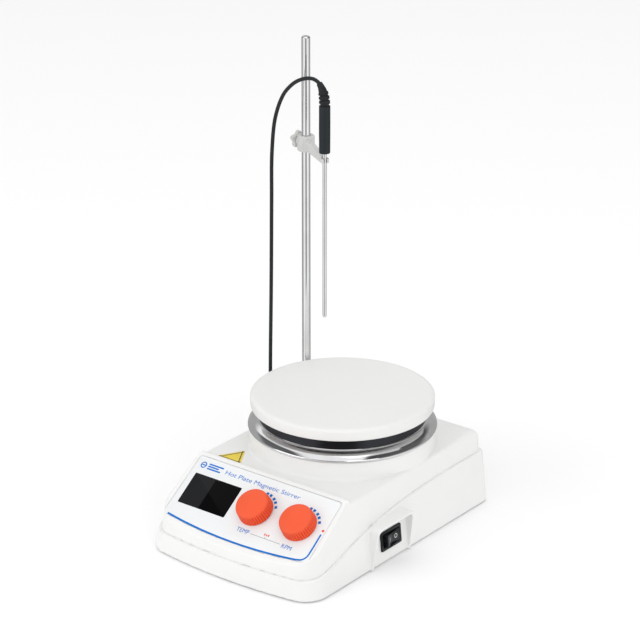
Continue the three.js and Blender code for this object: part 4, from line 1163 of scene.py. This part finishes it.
HANG = [
    (-28.3, 37.85, 320.8), (-31.1, 38.35, 322.8), (-33.7, 38.8, 323.6), (-36.4, 39.25, 323.9),
    (-42.8, 40.5, 322.8), (-52.6, 42.4, 318.6), (-61.2, 44, 312.2), (-68.7, 45.4, 303.6), (-77, 47, 285),
    (-80.8, 47.7, 258), (-81.6, 47.9, 221), (-82.7, 48.1, 156), (-84.4, 48.4, 83), (-85.4, 49.5, 35),
    (-86, 55, 13), (-86.5, 68, 3.4), (-86.5, 84, LEAD_Z), (-84, 100, LEAD_Z), (-76, 112, LEAD_Z),
    (-62, 117.6, LEAD_Z), (-42, 118, LEAD_Z), (-25, 116.9, LEAD_Z),
]
TAIL = [
    (-14, 151.7, 4.6), (-19.6, 152.9, 5.1), (-27, 153.9, 7.2), (-33.4, 152.3, 11.2), (-36.6, 147.4, 16.0),
    (-35.9, 141, 19.8), (-34.3, 135.4, 21.3), (-34, 131, 21.5),
]
COIL_X, COIL_Y, COIL_R, COIL_START = -8.8, 134.0, 15.4, 270.0
COIL_TURNS = 4.486
COIL_LAYERS = [(2.85, 0.0), (0.0, 0.0), (-2.85, 0.0), (-1.42, 2.5), (1.42, 2.5)]


def catmull(points, per_span=10):
    """Smooth line through points, with chord-based spacing."""
    p = [Vector(q) for q in points]
    p = [p[0] * 2 - p[1], *p, p[-1] * 2 - p[-2]]
    made = []
    for i in range(1, len(p) - 2):
        t = [0.0]
        for a, b in zip(p[i - 1:i + 2], p[i:i + 3]):
            t.append(t[-1] + math.sqrt((b - a).length))
        for k in range(per_span):
            u = t[1] + (t[2] - t[1]) * k / per_span

            def between(a, b, start, end):
                return a * ((end - u) / (end - start)) + b * ((u - start) / (end - start))

            first = [between(p[i - 1 + j], p[i + j], t[j], t[j + 1]) for j in range(3)]
            second = [between(first[j], first[j + 1], t[j], t[j + 2]) for j in range(2)]
            made.append(between(*second, t[1], t[2]))
    return [*made, p[-2]]


def coil_points(per_turn=24):
    """Three turns side by side on the table and two on top of them."""
    made = []
    steps = int(COIL_TURNS * per_turn)
    for k in range(steps + 1):
        at = k * COIL_TURNS / steps
        low = min(int(at), len(COIL_LAYERS) - 1)
        high = min(low + 1, len(COIL_LAYERS) - 1)
        slide = float(smooth(at - low, 0.7, 1.0))
        dr, dz = (a * (1 - slide) + b * slide for a, b in zip(COIL_LAYERS[low], COIL_LAYERS[high]))
        a = math.radians(COIL_START) + 2 * math.pi * at
        made.append((COIL_X + (COIL_R + dr) * math.cos(a), COIL_Y + (COIL_R + dr) * math.sin(a), LEAD_Z + dz))
    return made


def tube_along(name, path, radius, segments=16):
    """Round tube along a path, its cross-section carried on without twist."""
    rings = []
    side = Vector((0, 1, 0))
    for k, here in enumerate(path):
        way = (path[min(k + 1, len(path) - 1)] - path[max(k - 1, 0)]).normalized()
        side = (side - way * side.dot(way)).normalized()
        rings.append(hoop(here, way, side, radius, segments))
    return loft(name, rings, sharp=50)


def make_lead():
    path = catmull([*HANG, *coil_points(), *TAIL], 6)
    lead = add("sensor_lead", tube_along("sensor_lead", path, LEAD_R), "black_rubber", None,
               replaces=["sensor_lead_hang", "sensor_lead_coil", "sensor_lead_tail"])
    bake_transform(lead)


make_lead()


# CAD nodes that stay: rear connectors, feet, screws and everything inside

KEPT = {
    "dark_plastic": ["inlet_socket", "fuse_drawer", "display_module"],
    "zinc_steel": ["sensor_socket", "encoder_temp", "encoder_speed", "motor_bracket", "motor_body",
                   "magnet_1", "magnet_2", *[f"housing_screw_{i}" for i in range(1, 5)],
                   *[f"plate_post_{i}" for i in range(1, 4)]],
    "black_rubber": [f"foot_{i}" for i in range(1, 5)],
    "aluminium": ["knob_shaft_temp", "knob_shaft_speed", "heat_sink", "magnet_carrier"],
    "circuit_board": ["control_board", "power_board"],
    "copper_coil": ["transformer"],
    "clear_glass": ["fuse"],
    "mica": ["heater_disc"],
    "ceramic_fibre": ["insulation_disc"],
    "brushed_steel": ["motor_shaft"],
    "brass": ["rod_insert"],
}
BEVELLED = {
    "inlet_socket": 0.4, "fuse_drawer": 0.4, "sensor_socket": 0.3, "motor_bracket": 0.3,
    "magnet_carrier": 0.4, "transformer": 0.6, "control_board": 0.2, "power_board": 0.2,
    "display_module": 0.4,
}


def dress_nodes():
    for look, names in KEPT.items():
        for name in names:
            held = NODES[name]
            held.data.materials.clear()
            held.data.materials.append(LOOKS[look])
            if "custom_normal" in held.data.attributes:
                held.data.attributes.remove(held.data.attributes["custom_normal"])
            held.data.shade_smooth()
            held.modifiers.new("weld", "WELD").merge_threshold = 1e-6
            if name in BEVELLED:
                bevel = held.modifiers.new("bevel", "BEVEL")
                bevel.width, bevel.segments, bevel.limit_method = BEVELLED[name] * MM, 2, "ANGLE"
                bevel.angle_limit = math.radians(40)
            split = held.modifiers.new("split", "EDGE_SPLIT")
            split.split_angle = math.radians(38)


dress_nodes()


# Studio

WORLD_LIGHT, FLOOR_SHINE, GREY = 0.87, 1.15, 0.42
SEEN_FROM = math.radians(52)
# Share of the way round the rod, from the front right to the rear left, and how bright steel sees the floor
FLOOR_STOPS = [(0.0, 0.3), (0.08, 0.34), (0.15, 1.0), (0.28, 1.0), (0.42, 0.7), (0.55, 0.36), (0.8, 0.4)]
# Share of the way across, and how bright steel sees the surroundings
PANEL_STOPS = [(0.0, 0.2), (0.2, 0.1), (0.25, 1.0), (0.64, 1.0), (0.67, 0.06), (0.9, 0.12), (1.0, 0.3)]
AIM = (0, 0.03, 0.1)
LIGHTS = {
    "key": ((-0.9, -1.7, 0.9), (1.6, 1.2), 8),
    "fill": ((1.7, -0.9, 1.0), (1.4, 1.2), 7),
    "top": ((0.1, 0.5, 2.2), (1.8, 1.8), 6),
}


def link_all(tree, *pairs):
    for source, target in pairs:
        tree.links.new(source, target)


def ramp_of(tree, value, stops):
    """Grey level read from (place, level) stops."""
    ramp = tree.nodes.new("ShaderNodeValToRGB")
    elements = ramp.color_ramp.elements
    while len(elements) < len(stops):
        elements.new(0.5)
    for element, (place, level) in zip(elements, stops):
        element.position = place
        element.color = (level, level, level, 1)
    tree.links.new(value, ramp.inputs["Fac"])
    return ramp.outputs["Color"]


def turned_parts(tree, source, centre=(0.0, 0.0)):
    """Coordinates of source about a centre, turned so that X points to the front right."""
    place = tree.nodes.new("ShaderNodeTexCoord")
    shift = tree.nodes.new("ShaderNodeVectorMath")
    shift.inputs[1].default_value = (-centre[0], -centre[1], 0)
    turn = tree.nodes.new("ShaderNodeMapping")
    turn.inputs["Rotation"].default_value = (0, 0, SEEN_FROM)
    parts = tree.nodes.new("ShaderNodeSeparateXYZ")
    link_all(tree, (place.outputs[source], shift.inputs[0]), (shift.outputs["Vector"], turn.inputs["Vector"]),
             (turn.outputs["Vector"], parts.inputs["Vector"]))
    return parts.outputs


def maths(tree, operation, first, second=None):
    made = tree.nodes.new("ShaderNodeMath")
    made.operation = operation
    for socket, value in zip(made.inputs, (first, second)):
        if isinstance(value, (int, float)):
            socket.default_value = value
        elif value is not None:
            tree.links.new(value, socket)
    return made.outputs[0]


def make_floor():
    """Plain white floor; metal sees it as a ring of soft grey and bright panels."""
    mesh = bpy.data.meshes.new("floor")
    mesh.from_pydata([(-6, -6, 0), (6, -6, 0), (6, 6, 0), (-6, 6, 0)], [], [(0, 1, 2, 3)])
    made = put("floor", mesh)
    surface = shader("floor", (0.96, 0.96, 0.96), 0.8, Specular_IOR_Level=0.0)
    tree = surface.node_tree
    parts = turned_parts(tree, "Object", (ROD_X * MM, ROD_Y * MM))
    around = maths(tree, "ABSOLUTE", maths(tree, "ARCTAN2", parts["Y"], parts["X"]))
    share = maths(tree, "DIVIDE", around, math.pi)
    seen = tree.nodes.new("ShaderNodeEmission")
    seen.inputs["Strength"].default_value = FLOOR_SHINE
    path = tree.nodes.new("ShaderNodeLightPath")
    mix = tree.nodes.new("ShaderNodeMixShader")
    link_all(tree, (ramp_of(tree, share, FLOOR_STOPS), seen.inputs["Color"]),
             (path.outputs["Is Glossy Ray"], mix.inputs["Fac"]),
             (principled_of(surface).outputs["BSDF"], mix.inputs[1]),
             (seen.outputs["Emission"], mix.inputs[2]),
             (mix.outputs["Shader"], tree.nodes["Material Output"].inputs["Surface"]))
    mesh.materials.append(surface)


def area_light(name, at, size, power):
    data = bpy.data.lights.new(name, "AREA")
    data.shape, data.size, data.size_y, data.energy = "RECTANGLE", *size, power
    made = put(name, data)
    made.location = at
    made.rotation_euler = (Vector(AIM) - Vector(at)).to_track_quat("-Z", "Y").to_euler()


def make_world():
    """Even white light all round; metal sees it bright at the left and overhead, dark at the right."""
    world = bpy.data.worlds.new("studio")
    bpy.context.scene.world = world
    world.use_nodes = True
    tree = world.node_tree
    tree.nodes.clear()
    even, seen = (tree.nodes.new("ShaderNodeBackground") for _ in range(2))
    even.inputs["Color"].default_value = (1, 1, 1, 1)
    even.inputs["Strength"].default_value = WORLD_LIGHT
    parts = turned_parts(tree, "Generated")
    across = maths(tree, "ADD", maths(tree, "MULTIPLY", parts["Y"], 0.5), 0.5)
    panels = ramp_of(tree, across, PANEL_STOPS)
    side = ramp_of(tree, parts["Z"], [(0.4, 0.0), (0.52, 1.0)])
    both = tree.nodes.new("ShaderNodeMix")
    both.data_type = "RGBA"
    both.inputs["A"].default_value = (GREY, GREY, GREY, 1)
    path = tree.nodes.new("ShaderNodeLightPath")
    mix = tree.nodes.new("ShaderNodeMixShader")
    out = tree.nodes.new("ShaderNodeOutputWorld")
    link_all(tree, (side, both.inputs["Factor"]), (panels, both.inputs["B"]),
             (both.outputs["Result"], seen.inputs["Color"]),
             (path.outputs["Is Glossy Ray"], mix.inputs["Fac"]),
             (even.outputs["Background"], mix.inputs[1]), (seen.outputs["Background"], mix.inputs[2]),
             (mix.outputs["Shader"], out.inputs["Surface"]))


def make_studio():
    make_floor()
    make_world()
    for name, values in LIGHTS.items():
        area_light(name, *values)
    bpy.context.scene.view_settings.view_transform = "Standard"


make_studio()
